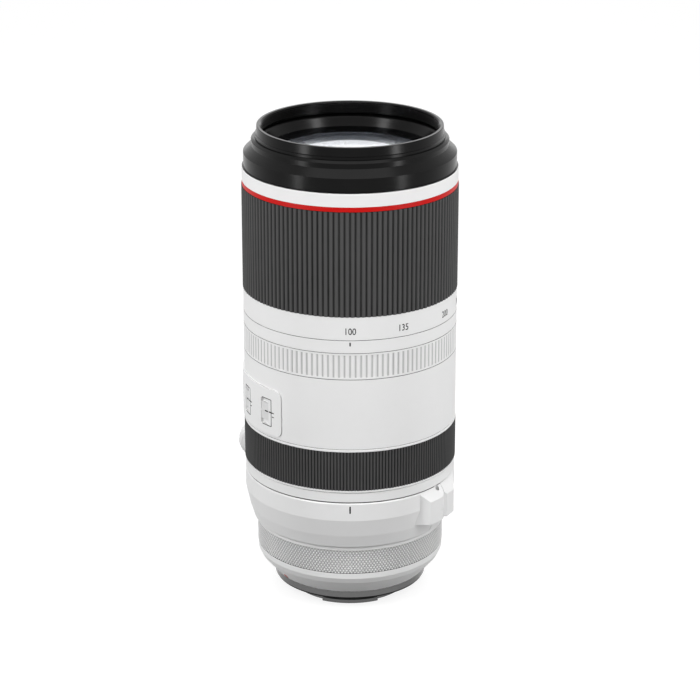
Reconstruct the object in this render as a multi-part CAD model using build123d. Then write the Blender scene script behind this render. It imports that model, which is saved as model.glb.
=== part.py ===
"""Telephoto zoom lens, standing on its bayonet and set to its shortest length.

The lens axis is Z, and the origin is where it meets the rear face of the mounting flange. The front
of the lens points along +Z, the index marks face -Y and the tripod foot points along +Y. Lengths
are in millimetres, angles in degrees. A direction round the axis is given as degrees to the left
or right of the index marks, as someone looking at the marks sees them.
"""

import os
from math import cos, degrees, hypot, pi, radians, sin, sqrt, tan

from build123d import *

os.makedirs("parts", exist_ok=True)

# Clearances and small sizes that many pieces share
run_gap = 0.08
seat_gap = 0.02
line_gap = 0.2
overrun = 1.0
full_turn = 360

# Heights of the outer rings, from the mounting flange up to the front ring
flange_height = 3.6
rear_ring_height = 11.9
control_height = 10.7
stop_height = 1.5
collar_height = 22.9
trim_height = 4.5
focus_height = 20.0
main_height = 31.8
tension_height = 11.7
index_height = 5.6
zoom_height = 56.2
red_height = 2.0
name_height = 5.8

# Heights on the front ring, from its skirt up to its rim
front_skirt = 6.1
front_cone = 3.2
front_flange = 3.2
groove_height = 1.5
rim_height = 3.8

rear_ring_z = flange_height
control_z = rear_ring_z + rear_ring_height + line_gap
stop_z = control_z + control_height + line_gap
collar_z = stop_z + stop_height + line_gap
trim_z = collar_z + collar_height + line_gap
tube_floor_z = trim_z + trim_height
focus_z = tube_floor_z + line_gap
main_z = focus_z + focus_height + line_gap
tension_z = main_z + main_height + line_gap
index_z = tension_z + tension_height + line_gap
zoom_z = index_z + index_height + line_gap
red_z = zoom_z + zoom_height + line_gap
name_z = red_z + red_height
front_z = name_z + name_height + line_gap
front_cone_z = front_z + front_skirt
front_flange_z = front_cone_z + front_cone
groove_z = front_flange_z + front_flange
rim_z = groove_z + groove_height
front_top_z = rim_z + rim_height

# Radii of the tubes that nest in each other, from the outer shells inwards
body_r = 46.8
tension_wall = 0.9
sleeve_wall = 0.8
skirt_wall = 0.7
extension_wall = 1.1
fixed_wall = 1.2
cam_wall = 1.2
guide_wall = 1.2
barrel_shelf = 0.82
rear_barrel_wall = 1.4

tension_bore = body_r - tension_wall
sleeve_r = tension_bore - run_gap
sleeve_bore = sleeve_r - sleeve_wall
skirt_r = sleeve_bore - run_gap
skirt_bore = skirt_r - skirt_wall
extension_r = skirt_bore - run_gap
extension_bore = extension_r - extension_wall
fixed_r = extension_bore - run_gap
fixed_bore = fixed_r - fixed_wall
cam_r = fixed_bore - run_gap
cam_bore = cam_r - cam_wall
guide_r = cam_bore - run_gap
guide_bore = guide_r - guide_wall
rear_barrel_bore = guide_bore - barrel_shelf
rear_barrel_r = rear_barrel_bore + rear_barrel_wall

# Bayonet mount: a spigot with three tabs, a flange, its seal and its screws
spigot_r = 25.6
spigot_wall = 2.0
spigot_depth = 5.5
flange_width = 8.3
tab_proud = 1.7
tab_height = 1.6
tab_count = 3
tab_angle = 54
seal_inset = 0.5
seal_width = 1.5
seal_step = 0.5
seal_proud = 0.3
mount_screw_inset = 4.0
mount_screw_r = 1.0
mount_screw_head_r = 1.9
mount_screw_head = 1.2
mount_screw_short = 0.6
mount_screw_count = 4
driver_r = 0.9
driver_depth = 0.5
spigot_bore = spigot_r - spigot_wall
flange_r = spigot_r + flange_width
tab_r = spigot_r + tab_proud
seal_r = flange_r - seal_inset
mount_screw_circle = spigot_r + mount_screw_inset

# Rear throat: baffle, contact block and its pins
baffle_wall = 3.0
baffle_flange = 1.2
baffle_recess = 1.0
contact_width = 2.2
contact_angle = 84
contact_height = 5.6
contact_recess = 0.7
contact_count = 12
contact_pin_r = 0.45
contact_pin_length = 1.2
contact_pin_proud = 0.3
contact_pitch_angle = 6
baffle_r = spigot_bore - contact_width
baffle_bore = baffle_r - baffle_wall

# Rear barrel, which the control ring and the tripod collar turn on
control_wall = 1.82
control_edge = 0.3
stop_proud = 0.1
control_r = rear_barrel_r + run_gap + control_wall
stop_r = control_r + stop_proud

# Rear ring, with the red mounting mark on its cone
rear_ring_step = 0.3
rear_ring_taper = 1.2
rear_ring_shoulder = 5.1
rear_ring_foot_step = 0.4
rear_ring_floor = 2.4
rear_ring_wall = 2.2
rear_throat_step = 0.4
rear_seat = 3.0
dot_angle = 54
dot_share = 1 / 5
dot_r = 1.3
dot_depth = 0.9
dot_proud = 0.1
rear_ring_r = control_r - rear_ring_step
rear_ring_shoulder_r = rear_ring_r - rear_ring_taper
rear_ring_foot_r = flange_r + rear_ring_foot_step
rear_throat_r = spigot_bore + rear_throat_step
mount_screw_length = flange_height + rear_ring_floor - mount_screw_short

# Tripod collar: a ring cut in two halves, with a hinge to the right of the index marks and a clamp
# screw to the left
collar_gap = 0.1
collar_foot_step = 0.6
collar_foot_edge = 0.9
collar_swell_rise = 6.7
collar_swell_setback = 1.7
collar_band = 8.3
collar_edge = 0.6
hinge_angle = 54.5
clamp_angle = 110
split_gap = 0.4
hinge_pin_r = 1.25
hinge_inset = 0.3
knuckle_wall = 2.15
knuckle_gap = 0.2
knuckle_height = 5.6
hinge_low = 7.9
hinge_slope = 4.3
hinge_block_proud = 3.2
hinge_block_sink = 6.5
hinge_front_setback = 11.3
hinge_side_setback = 0.9
hinge_block_end = 8.0
hinge_open_angle = 49
hinge_pin_drop = 2.4
lead_in = 0.9
collar_bore = rear_barrel_r + collar_gap
collar_foot_r = stop_r + collar_foot_step
knuckle_r = hinge_pin_r + knuckle_wall
hinge_circle = body_r - hinge_inset
hinge_block_r = body_r + hinge_block_proud

# Clamp: a lug on each half, a screw that runs parallel to Y and its knob
lug_proud = 0.1
lug_width = 10.9
lug_height = 14.0
lug_front_y = 3.0
lug_setback = 11.0
lug_edge = 2.0
clamp_inset = 3.65
clamp_drop = 5.9
clamp_screw_r = 1.75
clamp_tip = 4.2
clamp_tip_gap = 0.35
clamp_sweep = 2.2
knob_r = 8.45
knob_tooth = 0.4
knob_land_share = 1 / 3
knob_height = 6.5
knob_hub = 5.0
knob_hub_r = 5.2
knob_count = 36
knob_edge = 1.2
knob_socket = 7.0
lug_side = body_r + lug_proud
lug_back_y = body_r - lug_setback
clamp_x = lug_side - clamp_inset

# Tripod foot, in one piece with the rear half of the collar
foot_reach = 26.2
foot_thickness = 8.5
foot_width = 32.0
foot_length = 64.0
foot_rise = 21.7
foot_corner = 7.0
foot_edge = 1.2
neck_low = 2.2
neck_high = 2.4
neck_flare = 5.0
bush_r = 5.0
bush_bore = 3.2
bush_floor = 1.4
bush_recess = 0.3
foot_base_y = body_r + foot_reach
foot_middle_z = collar_z + foot_rise
bush_length = foot_thickness - bush_recess - bush_floor

# Focus ring and trim ring
trim_step = 0.2
trim_wall = 1.1
focus_lip_proud = 0.1
focus_grip_proud = 0.2
focus_rib_depth = 0.4
focus_rubber = 0.4
focus_wall = 0.9
focus_lip = 1.0
focus_sleeve_wall = 0.9
focus_rib_count = 208
trim_r = body_r - trim_step
focus_lip_r = body_r + focus_lip_proud
focus_grip_r = body_r + focus_grip_proud
focus_grip_root_r = focus_grip_r - focus_rib_depth
focus_seat_r = focus_grip_root_r - focus_rubber

# Main barrel with its switch panel
web_height = 2.2
sleeve_reach = 10.0
panel_proud = 0.65
panel_sink = 0.5
panel_low = 1.3
panel_height = 21.0
panel_start_angle = 39.0
panel_end_angle = 127.0
panel_corner = 3.0
window_first_angle = 51.3
window_step_angle = 21.0
window_low = 5.4
window_height = 11.7
window_width = 5.3
switch_names = ("focus_mode_switch", "distance_switch", "stabiliser_switch", "stabiliser_mode_switch")
switch_length = 7.8
switch_travel = 1.8
switch_stop = 0.2
switch_dip = 0.2
switch_ridge = 0.8
switch_ridge_rise = 0.25

# Tension ring and zoom ring
tension_rib_depth = 0.3
tension_rib_count = 124
tension_lip = 0.8
number_height = 10.2
zoom_grip_proud = 0.2
zoom_rib_depth = 0.5
zoom_rubber = 0.3
zoom_rib_count = 128
zoom_land_share = 1 / 3
zoom_relief_wall = 1.0
zoom_lip = 6.0
zoom_web = 4.0
seal_ring_height = 2.5
skirt_clear = 0.5
tension_root_r = body_r - tension_rib_depth
zoom_grip_r = body_r + zoom_grip_proud
zoom_grip_root_r = zoom_grip_r - zoom_rib_depth
zoom_seat_r = zoom_grip_root_r - zoom_rubber
zoom_relief_r = zoom_seat_r - zoom_relief_wall

# Zoom mechanism: keys, cam slots and rollers
zoom_turn_angle = 116
group_travel = 36.0
key_height = 4.0
key_width = 6.0
key_margin = 1.5
key_count = 2
key_first_angle = 30
key_slot_gap = 0.3
roller_r = 2.0
slot_gap = 0.09
slot_end = 3.0
roller_count = 3
roller_first_angle = 20
roller_inset = 4.0
barrel_clear = 1.5
group_lead_angle = 43
guide_spare = 12.0
tube_lip = 1.4
tube_lip_reach = 0.7
tube_top_gap = 1.0
tube_margin = 14.0

# Front group and the black front ring, from the cell that slides in the cam tube out to the skirt
front_cell_gap = 0.9
front_cell_wall = 1.6
front_cell_step = 0.6
front_cell_ledge = 1.9
front_cell_lip = 1.5
front_cell_length = 16.0
front_glass_edge = 6.4
front_glass_crown = 2.6
front_glass_back = 1.0
second_glass_hollow = 1.4
second_glass_edge = 5.0
second_glass_crown = 2.0
retainer_reach = 1.4
retainer_edge = 1.9
retainer_slope = 2.0
retainer_throat = 5.5
retainer_wall = 0.3
retainer_gap = 0.38
thread_step = 0.9
thread_height = 5.3
thread_mouth = 0.6
rim_wall = 1.9
rim_taper = 0.3
rim_edge = 0.2
rim_step = 0.5
groove_depth = 1.65
front_wall = 1.0
front_flange_edge = 1.0
front_skirt_step = 0.75
extension_rise = 7.0
cell_flange_rise = 2.6
cell_flange = 2.6
front_cell_r = cam_bore - front_cell_gap
front_cell_bore = front_cell_r - front_cell_wall
front_glass_r = front_cell_bore - front_cell_step
front_cell_lip_r = front_glass_r - front_cell_ledge
retainer_bore = front_glass_r - retainer_reach
retainer_throat_r = retainer_bore + retainer_slope
thread_r = front_glass_r + thread_step
rim_r = thread_r + rim_wall
rim_foot_r = rim_r + rim_taper
groove_r = rim_foot_r + rim_step
funnel_r = groove_r - front_wall
front_flange_r = groove_r + groove_depth
front_skirt_r = body_r - front_skirt_step

# Zoom group, which the second set of cam slots moves
group_rise = 6.0
group_height = 16.0
group_wall = 4.0
group_ledge = 4.14
group_floor = 2.5
group_roller_rise = 6.0
group_glass_edge = 6.0
group_glass_crown = 2.2
group_glass_hollow = 2.2
group_r = guide_bore - run_gap
group_glass_seat = group_r - group_wall
group_bore = group_glass_seat - group_ledge

# Iris and stabiliser, each in a cup that seats in the guide tube
unit_wall = 2.0
iris_rise = 4.0
iris_height = 8.0
iris_floor = 1.6
iris_rim = 17.2
blade_count = 9
blade_width = 7.0
blade_setback = 1.0
blade_angle = 66
blade_thickness = 0.25
blade_pitch = 0.4
stabiliser_rise = 2.1
stabiliser_height = 20.0
stabiliser_floor = 2.0
stabiliser_travel = 1.0
stabiliser_spare = 1.5
stabiliser_margin = 0.1
frame_room = 3.2
frame_wall = 7.0
frame_height = 5.0
holder_wall = 7.1
holder_height = 6.0
holder_lip = 1.2
holder_lip_reach = 1.0
holder_glass_edge = 3.6
holder_glass_crown = 1.0
unit_r = guide_bore - seat_gap
iris_aperture = unit_r - iris_rim
blade_bore = iris_aperture + blade_setback
blade_r = blade_bore + blade_width
frame_r = unit_r - unit_wall - frame_room
frame_bore = frame_r - frame_wall
holder_r = frame_bore - stabiliser_travel - stabiliser_spare
holder_glass_r = holder_r - holder_wall
holder_lip_r = holder_glass_r - holder_lip_reach
stabiliser_bore = holder_lip_r + stabiliser_travel + stabiliser_margin

# Focus cell, which slides on two rods
focus_travel = 10.0
focus_cell_rise = 10.5
focus_cell_height = 8.0
focus_cell_gap = 6.5
focus_cell_wall = 3.0
focus_cell_lip = 1.2
focus_lip_reach = 1.2
focus_glass_edge = 4.0
focus_glass_hollow = 1.2
rod_inset = 8.9
rod_r = 1.5
rod_sleeve_wall = 1.7
rod_seat = 1.6
yoke_width = 8.0
yoke_depth = 4.0
yoke_spare = 5.5
coil_width = 10.0
coil_depth = 4.5
rod_circle = rear_barrel_bore - rod_inset
rod_sleeve_r = rod_r + rod_sleeve_wall
focus_cell_r = rod_circle - focus_cell_gap
focus_glass_r = focus_cell_r - focus_cell_wall
focus_cell_lip_r = focus_glass_r - focus_lip_reach

# Rear cell and main circuit board
rear_cell_rise = 0.4
rear_cell_gap = 3.8
rear_cell_wall = 3.0
rear_cell_lip = 1.2
rear_cell_lip_reach = 1.0
rear_plate = 2.2
rear_plate_rise = 4.0
rear_glass_edge = 4.2
rear_glass_crown = 1.6
board_step = 0.6
board_gap = 0.1
board_thickness = 1.2
board_rise = 0.3
rear_cell_r = rear_throat_r - rear_cell_gap
rear_cell_bore = rear_cell_r - rear_cell_wall
rear_cell_lip_r = rear_cell_bore - rear_cell_lip_reach
board_bore = rear_throat_r + board_step
board_r = min(rear_ring_foot_r - rear_ring_wall, rear_barrel_bore) - board_gap

# Places that follow from the sizes above
main_bore = sleeve_r + seat_gap
collar_top_z = collar_z + collar_height
skirt_low_z = main_z + web_height + skirt_clear
key_z = skirt_low_z + key_margin
extension_low_z = key_z + key_height + barrel_clear
roller_z = extension_low_z + roller_inset
extension_top_z = front_z + extension_rise
cell_flange_z = front_z + cell_flange_rise
fixed_top_z = cell_flange_z - tube_top_gap
cam_top_z = fixed_top_z - tube_lip - run_gap
zoom_travel = fixed_top_z - tube_margin - slot_end - roller_z
group_z = roller_z + group_rise
group_roller_z = group_z + group_roller_rise
guide_top_z = group_roller_z + group_travel + guide_spare
stabiliser_z = tube_floor_z + stabiliser_rise
iris_z = stabiliser_z + stabiliser_height + iris_rise
rear_barrel_low_z = rear_ring_z + rear_ring_height - rear_seat
rear_cell_z = flange_height + rear_cell_rise
rear_cell_top = rear_barrel_low_z + rear_plate_rise
rear_plate_z = rear_cell_top - rear_plate
focus_cell_z = rear_cell_top + focus_cell_rise


def turned(*outline):
    """The solid that an outline of (radius, height) corners sweeps round the lens axis."""
    return revolve(Face(Wire.make_polygon([(r, 0, z) for r, z in outline])), Axis.Z)


def tube(outer, bore, low, high):
    """A plain tube on the lens axis."""
    return turned((bore, low), (outer, low), (outer, high), (bore, high))


def left(angle):
    """Turns a piece from the index direction to one that lies to the left of it."""
    return Rot(0, 0, -angle)


def wedge(outer, bore, low, high, start_left, end_left):
    """A stretch of tube between two directions to the left of the index marks."""
    corners = [(0, -bore, low), (0, -outer, low), (0, -outer, high), (0, -bore, high)]
    return left(end_left) * revolve(Face(Wire.make_polygon(corners)), Axis.Z, end_left - start_left)


def rod(radius, length, origin, direction):
    """A round rod that starts at a point and runs along a direction."""
    stands_on_end = (Align.CENTER, Align.CENTER, Align.MIN)
    return Plane(origin=origin, z_dir=direction) * Cylinder(radius, length, align=stands_on_end)


def upright(radius, x, y, low, high):
    """A round rod parallel to the lens axis."""
    return rod(radius, high - low, (x, y, low), (0, 0, 1))


def radial_rod(radius, inner, outer, height, angle_left):
    """A round rod that points out from the lens axis."""
    return left(angle_left) * rod(radius, outer - inner, (0, -inner, height), (0, -1, 0))


def block(low, high):
    """A box between two opposite corners."""
    size = [b - a for a, b in zip(low, high)]
    return Pos(*low) * Box(*size, align=(Align.MIN, Align.MIN, Align.MIN))


def toothed(root, crest, count, land_share):
    """A face with teeth all round; land_share is the share of the pitch on each tooth's crest."""
    corners = []
    for k in range(count):
        for radius, share in ((root, 0), (crest, (1 - land_share) / 2), (crest, (1 + land_share) / 2)):
            angle = 2 * pi * (k + share) / count
            corners.append((radius * cos(angle), radius * sin(angle), 0))
    return Face(Wire.make_polygon(corners))


def grip(root, crest, bore, count, land_share, low, high):
    """A ribbed rubber grip round a ring."""
    ribs = Pos(0, 0, low) * extrude(toothed(root, crest, count, land_share), high - low)
    return ribs - tube(bore, 0, low - overrun, high + overrun)


def crown_rise(radius, crown, place):
    """How far a crowned face of a lens element stands above its edge at a distance from the axis."""
    ball = (radius**2 + crown**2) / (2 * abs(crown))
    rise = abs(crown) - ball + sqrt(ball**2 - place**2)
    return rise if crown > 0 else -rise


def crowned_edge(radius, height, crown):
    """Half the outline of a crowned face, from the axis to the edge."""
    half = radius / 2
    middle = height + crown_rise(radius, crown, half)
    return Edge.make_three_point_arc((0, 0, height + crown), (half, 0, middle), (radius, 0, height))


def glass(radius, low, edge, top_crown, bottom_crown):
    """A lens element: its edge stands on low. A crown is how far a face bulges, or sinks if negative."""
    high = low + edge
    top, bottom = crowned_edge(radius, high, top_crown), crowned_edge(radius, low, -bottom_crown)
    rim = Edge.make_line((radius, 0, low), (radius, 0, high))
    axis = Edge.make_line((0, 0, low - bottom_crown), (0, 0, high + top_crown))
    return revolve(Face(Wire([top, rim, bottom, axis])), Axis.Z)


def spread(count, first=0):
    """Directions that share a full turn evenly."""
    return [first + full_turn * k / count for k in range(count)]


def edge_of(wall):
    """Width of a broken edge on a thin ring."""
    return wall / 4


def bayonet_mount():
    """Metal mounting ring: flange, spigot and the tabs that lock in the camera."""
    seal_bore = seal_r - seal_width
    ring = turned(
        (spigot_bore, -spigot_depth), (spigot_r, -spigot_depth), (spigot_r, 0), (seal_bore, 0),
        (seal_bore, seal_step), (flange_r, seal_step), (flange_r, flange_height),
        (spigot_bore, flange_height),
    )
    for middle in spread(tab_count):
        half = tab_angle / 2
        tab_top = tab_height - spigot_depth
        ring += wedge(tab_r, spigot_bore, -spigot_depth, tab_top, middle - half, middle + half)
    for angle in spread(mount_screw_count, full_turn / mount_screw_count / 2):
        x, y = mount_screw_circle * sin(radians(angle)), mount_screw_circle * cos(radians(angle))
        ring -= upright(mount_screw_r + seat_gap, x, y, -overrun, flange_height + overrun)
        ring -= upright(mount_screw_head_r + seat_gap, x, y, -overrun, mount_screw_head + seat_gap)
    return ring


def mount_screws():
    """Four countersunk screws that hold the mount to the rear ring."""
    screws = []
    for angle in spread(mount_screw_count, full_turn / mount_screw_count / 2):
        x, y = mount_screw_circle * sin(radians(angle)), mount_screw_circle * cos(radians(angle))
        screw = upright(mount_screw_head_r, x, y, 0, mount_screw_head)
        screw += upright(mount_screw_r, x, y, mount_screw_head / 2, mount_screw_length)
        screw -= upright(driver_r, x, y, -overrun, driver_depth)
        screws.append(screw.solid())
    return Compound(screws)


def mount_seal():
    """Rubber ring in the flange's outer step."""
    return tube(seal_r, seal_r - seal_width + seat_gap, -seal_proud, seal_step - seat_gap)


def rear_baffle():
    """Black plastic throat inside the spigot."""
    low = baffle_recess - spigot_depth
    flange_low = flange_height - baffle_flange
    return turned(
        (baffle_bore, low), (baffle_r, low), (baffle_r, flange_low), (spigot_bore - seat_gap, flange_low),
        (spigot_bore - seat_gap, flange_height), (baffle_bore, flange_height),
    )


def contact_circle():
    """Radius on which the contact pins stand."""
    return (spigot_bore + baffle_r) / 2


def contact_places():
    """Points of the contact pins, on the side away from the index marks."""
    first = full_turn / 2 - contact_pitch_angle * (contact_count - 1) / 2
    for k in range(contact_count):
        angle = radians(first + contact_pitch_angle * k)
        yield -contact_circle() * sin(angle), -contact_circle() * cos(angle)


def contact_block():
    """Curved plastic block that carries the electrical contacts."""
    low = contact_recess - spigot_depth
    middle, half = full_turn / 2, contact_angle / 2
    body = wedge(
        spigot_bore - seat_gap, baffle_r + seat_gap, low, low + contact_height,
        middle - half, middle + half,
    )
    for x, y in contact_places():
        body -= upright(contact_pin_r + seat_gap, x, y, low - overrun, low + contact_pin_length)
    return body


def contact_pins():
    """Gilt pins that meet the camera's contacts."""
    low = contact_recess - spigot_depth
    pins = [
        upright(contact_pin_r, x, y, low - contact_pin_proud, low + contact_pin_length - seat_gap).solid()
        for x, y in contact_places()
    ]
    return Compound(pins)


def rear_cone_height(share):
    """Height on the rear ring's cone, from its foot to its shoulder."""
    return rear_ring_z + share * (rear_ring_height - rear_ring_shoulder)


def dot_plane():
    """Plane of the mounting mark: it lies on the cone a fifth of the way up."""
    radius = rear_ring_foot_r + dot_share * (rear_ring_shoulder_r - rear_ring_foot_r)
    run, rise = rear_ring_shoulder_r - rear_ring_foot_r, rear_ring_height - rear_ring_shoulder
    steep = hypot(run, rise)
    angle = radians(dot_angle)
    place = (-radius * sin(angle), -radius * cos(angle), rear_cone_height(dot_share))
    normal = (-rise / steep * sin(angle), -rise / steep * cos(angle), -run / steep)
    return Plane(origin=place, z_dir=normal)


def rear_ring():
    """White cone between the mount and the control ring, with the floor that the mount screws into."""
    top, floor = rear_ring_z + rear_ring_height, rear_ring_z + rear_ring_floor
    shoulder, seat_z = top - rear_ring_shoulder, rear_barrel_low_z
    bore = rear_barrel_r + seat_gap
    ring = turned(
        (rear_throat_r, rear_ring_z), (rear_ring_foot_r, rear_ring_z), (rear_ring_shoulder_r, shoulder),
        (rear_ring_r, shoulder + (top - shoulder) / 2), (rear_ring_r, top), (bore, top), (bore, seat_z),
        (rear_barrel_bore, seat_z), (rear_ring_foot_r - rear_ring_wall, floor), (rear_throat_r, floor),
    )
    ring -= dot_plane() * Cylinder(dot_r + seat_gap, 2 * dot_depth)
    for angle in spread(mount_screw_count, full_turn / mount_screw_count / 2):
        x, y = mount_screw_circle * sin(radians(angle)), mount_screw_circle * cos(radians(angle))
        ring -= upright(mount_screw_r + seat_gap, x, y, 0, mount_screw_length + seat_gap)
    return ring


def mount_index_dot():
    """Red dot that is lined up with the camera's own."""
    return dot_plane() * Pos(0, 0, seat_gap - dot_depth) * Cylinder(
        dot_r, dot_depth - seat_gap + dot_proud, align=(Align.CENTER, Align.CENTER, Align.MIN)
    )


def rear_barrel():
    """Tube that carries the control ring and the collar, with the flange that the inner tubes stand on."""
    low = rear_barrel_low_z + seat_gap
    flange = trim_r - trim_wall - seat_gap
    flange_low = trim_z - run_gap
    return turned(
        (rear_barrel_bore, low), (rear_barrel_r, low), (rear_barrel_r, stop_z), (stop_r, stop_z),
        (stop_r, stop_z + stop_height), (rear_barrel_r, stop_z + stop_height),
        (rear_barrel_r, flange_low), (flange, flange_low), (flange, tube_floor_z),
        (rear_barrel_bore, tube_floor_z),
    )


def control_ring():
    """Control ring; its knurl is surface texture and stays with the visual model."""
    top = control_z + control_height
    return turned(
        (rear_barrel_r + run_gap, control_z), (control_r - control_edge, control_z),
        (control_r, control_z + control_edge), (control_r, top - control_edge),
        (control_r - control_edge, top), (rear_barrel_r + run_gap, top),
    )


def collar_cone():
    """Outline of the collar's cone, which swells a little, as (radius, height) from the foot up."""
    return [
        (collar_foot_r, collar_z), (collar_foot_r + collar_foot_edge, collar_z + collar_foot_edge),
        (body_r - collar_swell_setback, collar_z + collar_swell_rise), (body_r, collar_top_z - collar_band),
    ]


def collar_ring():
    """The whole collar before it is cut in two: a band over a cone."""
    return turned(
        (collar_bore, collar_z), *collar_cone(),
        (body_r, collar_top_z - collar_edge), (body_r - collar_edge, collar_top_z),
        (collar_bore, collar_top_z),
    )


def hinge_point():
    """Centre of the hinge pin, seen along the lens axis."""
    return hinge_circle * sin(radians(hinge_angle)), -hinge_circle * cos(radians(hinge_angle))


def hinge_envelope():
    """All round, the shape that the hinge's pieces stay in: an upright wall with a sloping top."""
    inner, low = hinge_block_r - hinge_block_sink, collar_z + hinge_low
    return turned(
        (inner, low), (hinge_block_r, low), (hinge_block_r, collar_top_z - hinge_slope),
        (body_r - collar_edge, collar_top_z), (inner, collar_top_z),
    )


def hinge_block():
    """Block that stands out of the collar at the hinge, before it is cut in two."""
    front, side = body_r - hinge_front_setback, body_r - hinge_side_setback
    return hinge_envelope() & block((0, -front, collar_z), (side, -hinge_block_end, collar_top_z))


def hinge_notch():
    """Room beside the knuckles, in which the foot half swings open."""
    x, y = hinge_point()
    reach = 2 * hinge_block_sink
    corners = [(0, 0)]
    for angle in (-hinge_open_angle / 2, 0, hinge_open_angle / 2, hinge_open_angle):
        turn = radians(hinge_angle + angle)
        corners.append((reach * sin(turn), -reach * cos(turn)))
    face = Face(Wire.make_polygon([(x + a, y + b, collar_z) for a, b in corners]))
    return extrude(face, collar_height + overrun, dir=(0, 0, 1))


def knuckle_spans():
    """Heights of the hinge's knuckles: the outer two are the index half's, the middle the foot half's."""
    low, high = collar_z + hinge_low, collar_top_z
    middle = (low + high) / 2
    first, second = middle - knuckle_height / 2, middle + knuckle_height / 2
    return (low, first - knuckle_gap), (first, second), (second + knuckle_gap, high)


def lug():
    """Block on the clamp side, before it is cut in two; seen end on, it has the collar's own outline."""
    low = collar_top_z - lug_height
    body = block((-lug_side, lug_front_y, low), (lug_width - lug_side, lug_back_y, collar_top_z))
    body = chamfer(body.edges().filter_by(Axis.Z).group_by(Axis.X)[0], lug_edge)
    side = [(-radius - lug_proud, z) for radius, z in collar_cone()]
    outline = [(0, collar_z), *side, (-lug_side, collar_top_z), (0, collar_top_z)]
    face = Face(Wire.make_polygon([(x, 0, z) for x, z in outline]))
    return body & extrude(face, body_r, dir=(0, 1, 0))


def collar_half(start_left, end_left, own_spans, other_spans, notched):
    """Half of the collar, with its knuckles, cut clear of the other half's."""
    x, y = hinge_point()
    low, high = collar_z - overrun, collar_top_z + overrun
    reach = body_r + lug_side
    whole = collar_ring() + hinge_block() + lug()
    half = whole & wedge(reach, 0, low, high, start_left, end_left)
    if notched:
        half -= hinge_notch()
    for bottom, top in own_spans:
        half += upright(knuckle_r, x, y, bottom, top) & hinge_envelope()
    for bottom, top in other_spans:
        half -= upright(knuckle_r + knuckle_gap, x, y, bottom - knuckle_gap, top + knuckle_gap)
    half -= tube(collar_bore, 0, low, high)
    return half


def clamp_height():
    """Height of the clamp screw."""
    return collar_top_z - clamp_drop


def clamp_split_y():
    """Where the split crosses the clamp screw."""
    return clamp_x * tan(radians(clamp_angle - full_turn / 4))


def collar_index_half():
    """Front half of the collar, which carries the index mark and the outer knuckles."""
    x, y = hinge_point()
    half_gap = degrees(split_gap / 2 / collar_bore)
    outer_low, middle, outer_high = knuckle_spans()
    own, other = (outer_low, outer_high), (middle,)
    half = collar_half(half_gap - hinge_angle, clamp_angle - half_gap, own, other, False)
    half -= upright(hinge_pin_r + seat_gap, x, y, collar_z, collar_top_z + overrun)
    hole = clamp_screw_r + clamp_tip_gap
    start = clamp_split_y() - clamp_tip - clamp_tip_gap
    end = clamp_split_y() + lug_edge
    low, high = clamp_height() - hole, clamp_height() + hole
    for x in (-clamp_x, clamp_sweep - clamp_x):
        half -= rod(hole, end - start, (x, start, clamp_height()), (0, 1, 0))
    half -= block((-clamp_x, start, low), (clamp_sweep - clamp_x, end, high))
    return half


def tripod_foot():
    """Foot plate and its neck, in one piece with the rear half of the collar."""
    low, high = foot_middle_z - foot_length / 2, foot_middle_z + foot_length / 2
    inner_y = foot_base_y - foot_thickness
    half = foot_width / 2
    plate = block((-half, inner_y, low), (half, foot_base_y, high))
    plate = fillet(plate.edges().filter_by(Axis.Y), foot_corner)
    plate = chamfer(plate.faces().sort_by(Axis.Y)[-1].edges(), foot_edge)
    neck_half = half - neck_flare
    bottom, top = collar_z + neck_low, collar_top_z - neck_high
    outline = [
        (-half, inner_y + overrun), (-half, inner_y), (-neck_half, inner_y - neck_flare),
        (-neck_half, rear_barrel_r - overrun), (neck_half, rear_barrel_r - overrun),
        (neck_half, inner_y - neck_flare), (half, inner_y), (half, inner_y + overrun),
    ]
    section = Face(Wire.make_polygon([(x, y, bottom) for x, y in outline]))
    neck = extrude(section, top - bottom, dir=(0, 0, 1))
    return plate + neck


def bush_hole():
    """Stepped hole for the threaded bush in the foot's base."""
    start = foot_base_y - bush_recess - bush_length
    return rod(bush_r + seat_gap, bush_length + bush_recess + overrun, (0, start, foot_middle_z), (0, 1, 0))


def collar_foot_half():
    """Rear half of the collar, with the middle knuckle, the clamp lug and the tripod foot."""
    x, y = hinge_point()
    half_gap = degrees(split_gap / 2 / collar_bore)
    outer_low, middle, outer_high = knuckle_spans()
    end = full_turn - hinge_angle - half_gap
    half = collar_half(clamp_angle + half_gap, end, (middle,), (outer_low, outer_high), True)
    half += tripod_foot()
    low, high = collar_z - overrun, collar_top_z + overrun
    half -= tube(collar_bore, 0, low, high)
    angle = radians(clamp_angle)
    half -= Pos(-lead_in * sin(angle), -lead_in * cos(angle), 0) * tube(collar_bore, 0, low, high)
    half -= upright(hinge_pin_r + run_gap, x, y, collar_z, collar_top_z + overrun)
    half -= bush_hole()
    reach = lug_back_y + overrun
    half -= rod(clamp_screw_r + run_gap, reach, (-clamp_x, 0, clamp_height()), (0, 1, 0))
    return half


def hinge_pin():
    """Steel pin through the three knuckles."""
    x, y = hinge_point()
    return upright(hinge_pin_r, x, y, collar_z + hinge_low, collar_top_z - hinge_pin_drop)


def tripod_bush():
    """Threaded steel bush for the tripod screw."""
    start = foot_base_y - bush_recess - bush_length + seat_gap
    bush = rod(bush_r, bush_length, (0, start, foot_middle_z), (0, 1, 0))
    return bush - rod(bush_bore, bush_length + overrun * 2, (0, start - overrun, foot_middle_z), (0, 1, 0))


def clamp_screw():
    """Steel screw that draws the two halves together."""
    start = clamp_split_y() - clamp_tip
    length = lug_back_y + run_gap + knob_socket - start
    return rod(clamp_screw_r, length, (-clamp_x, start, clamp_height()), (0, 1, 0))


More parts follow.
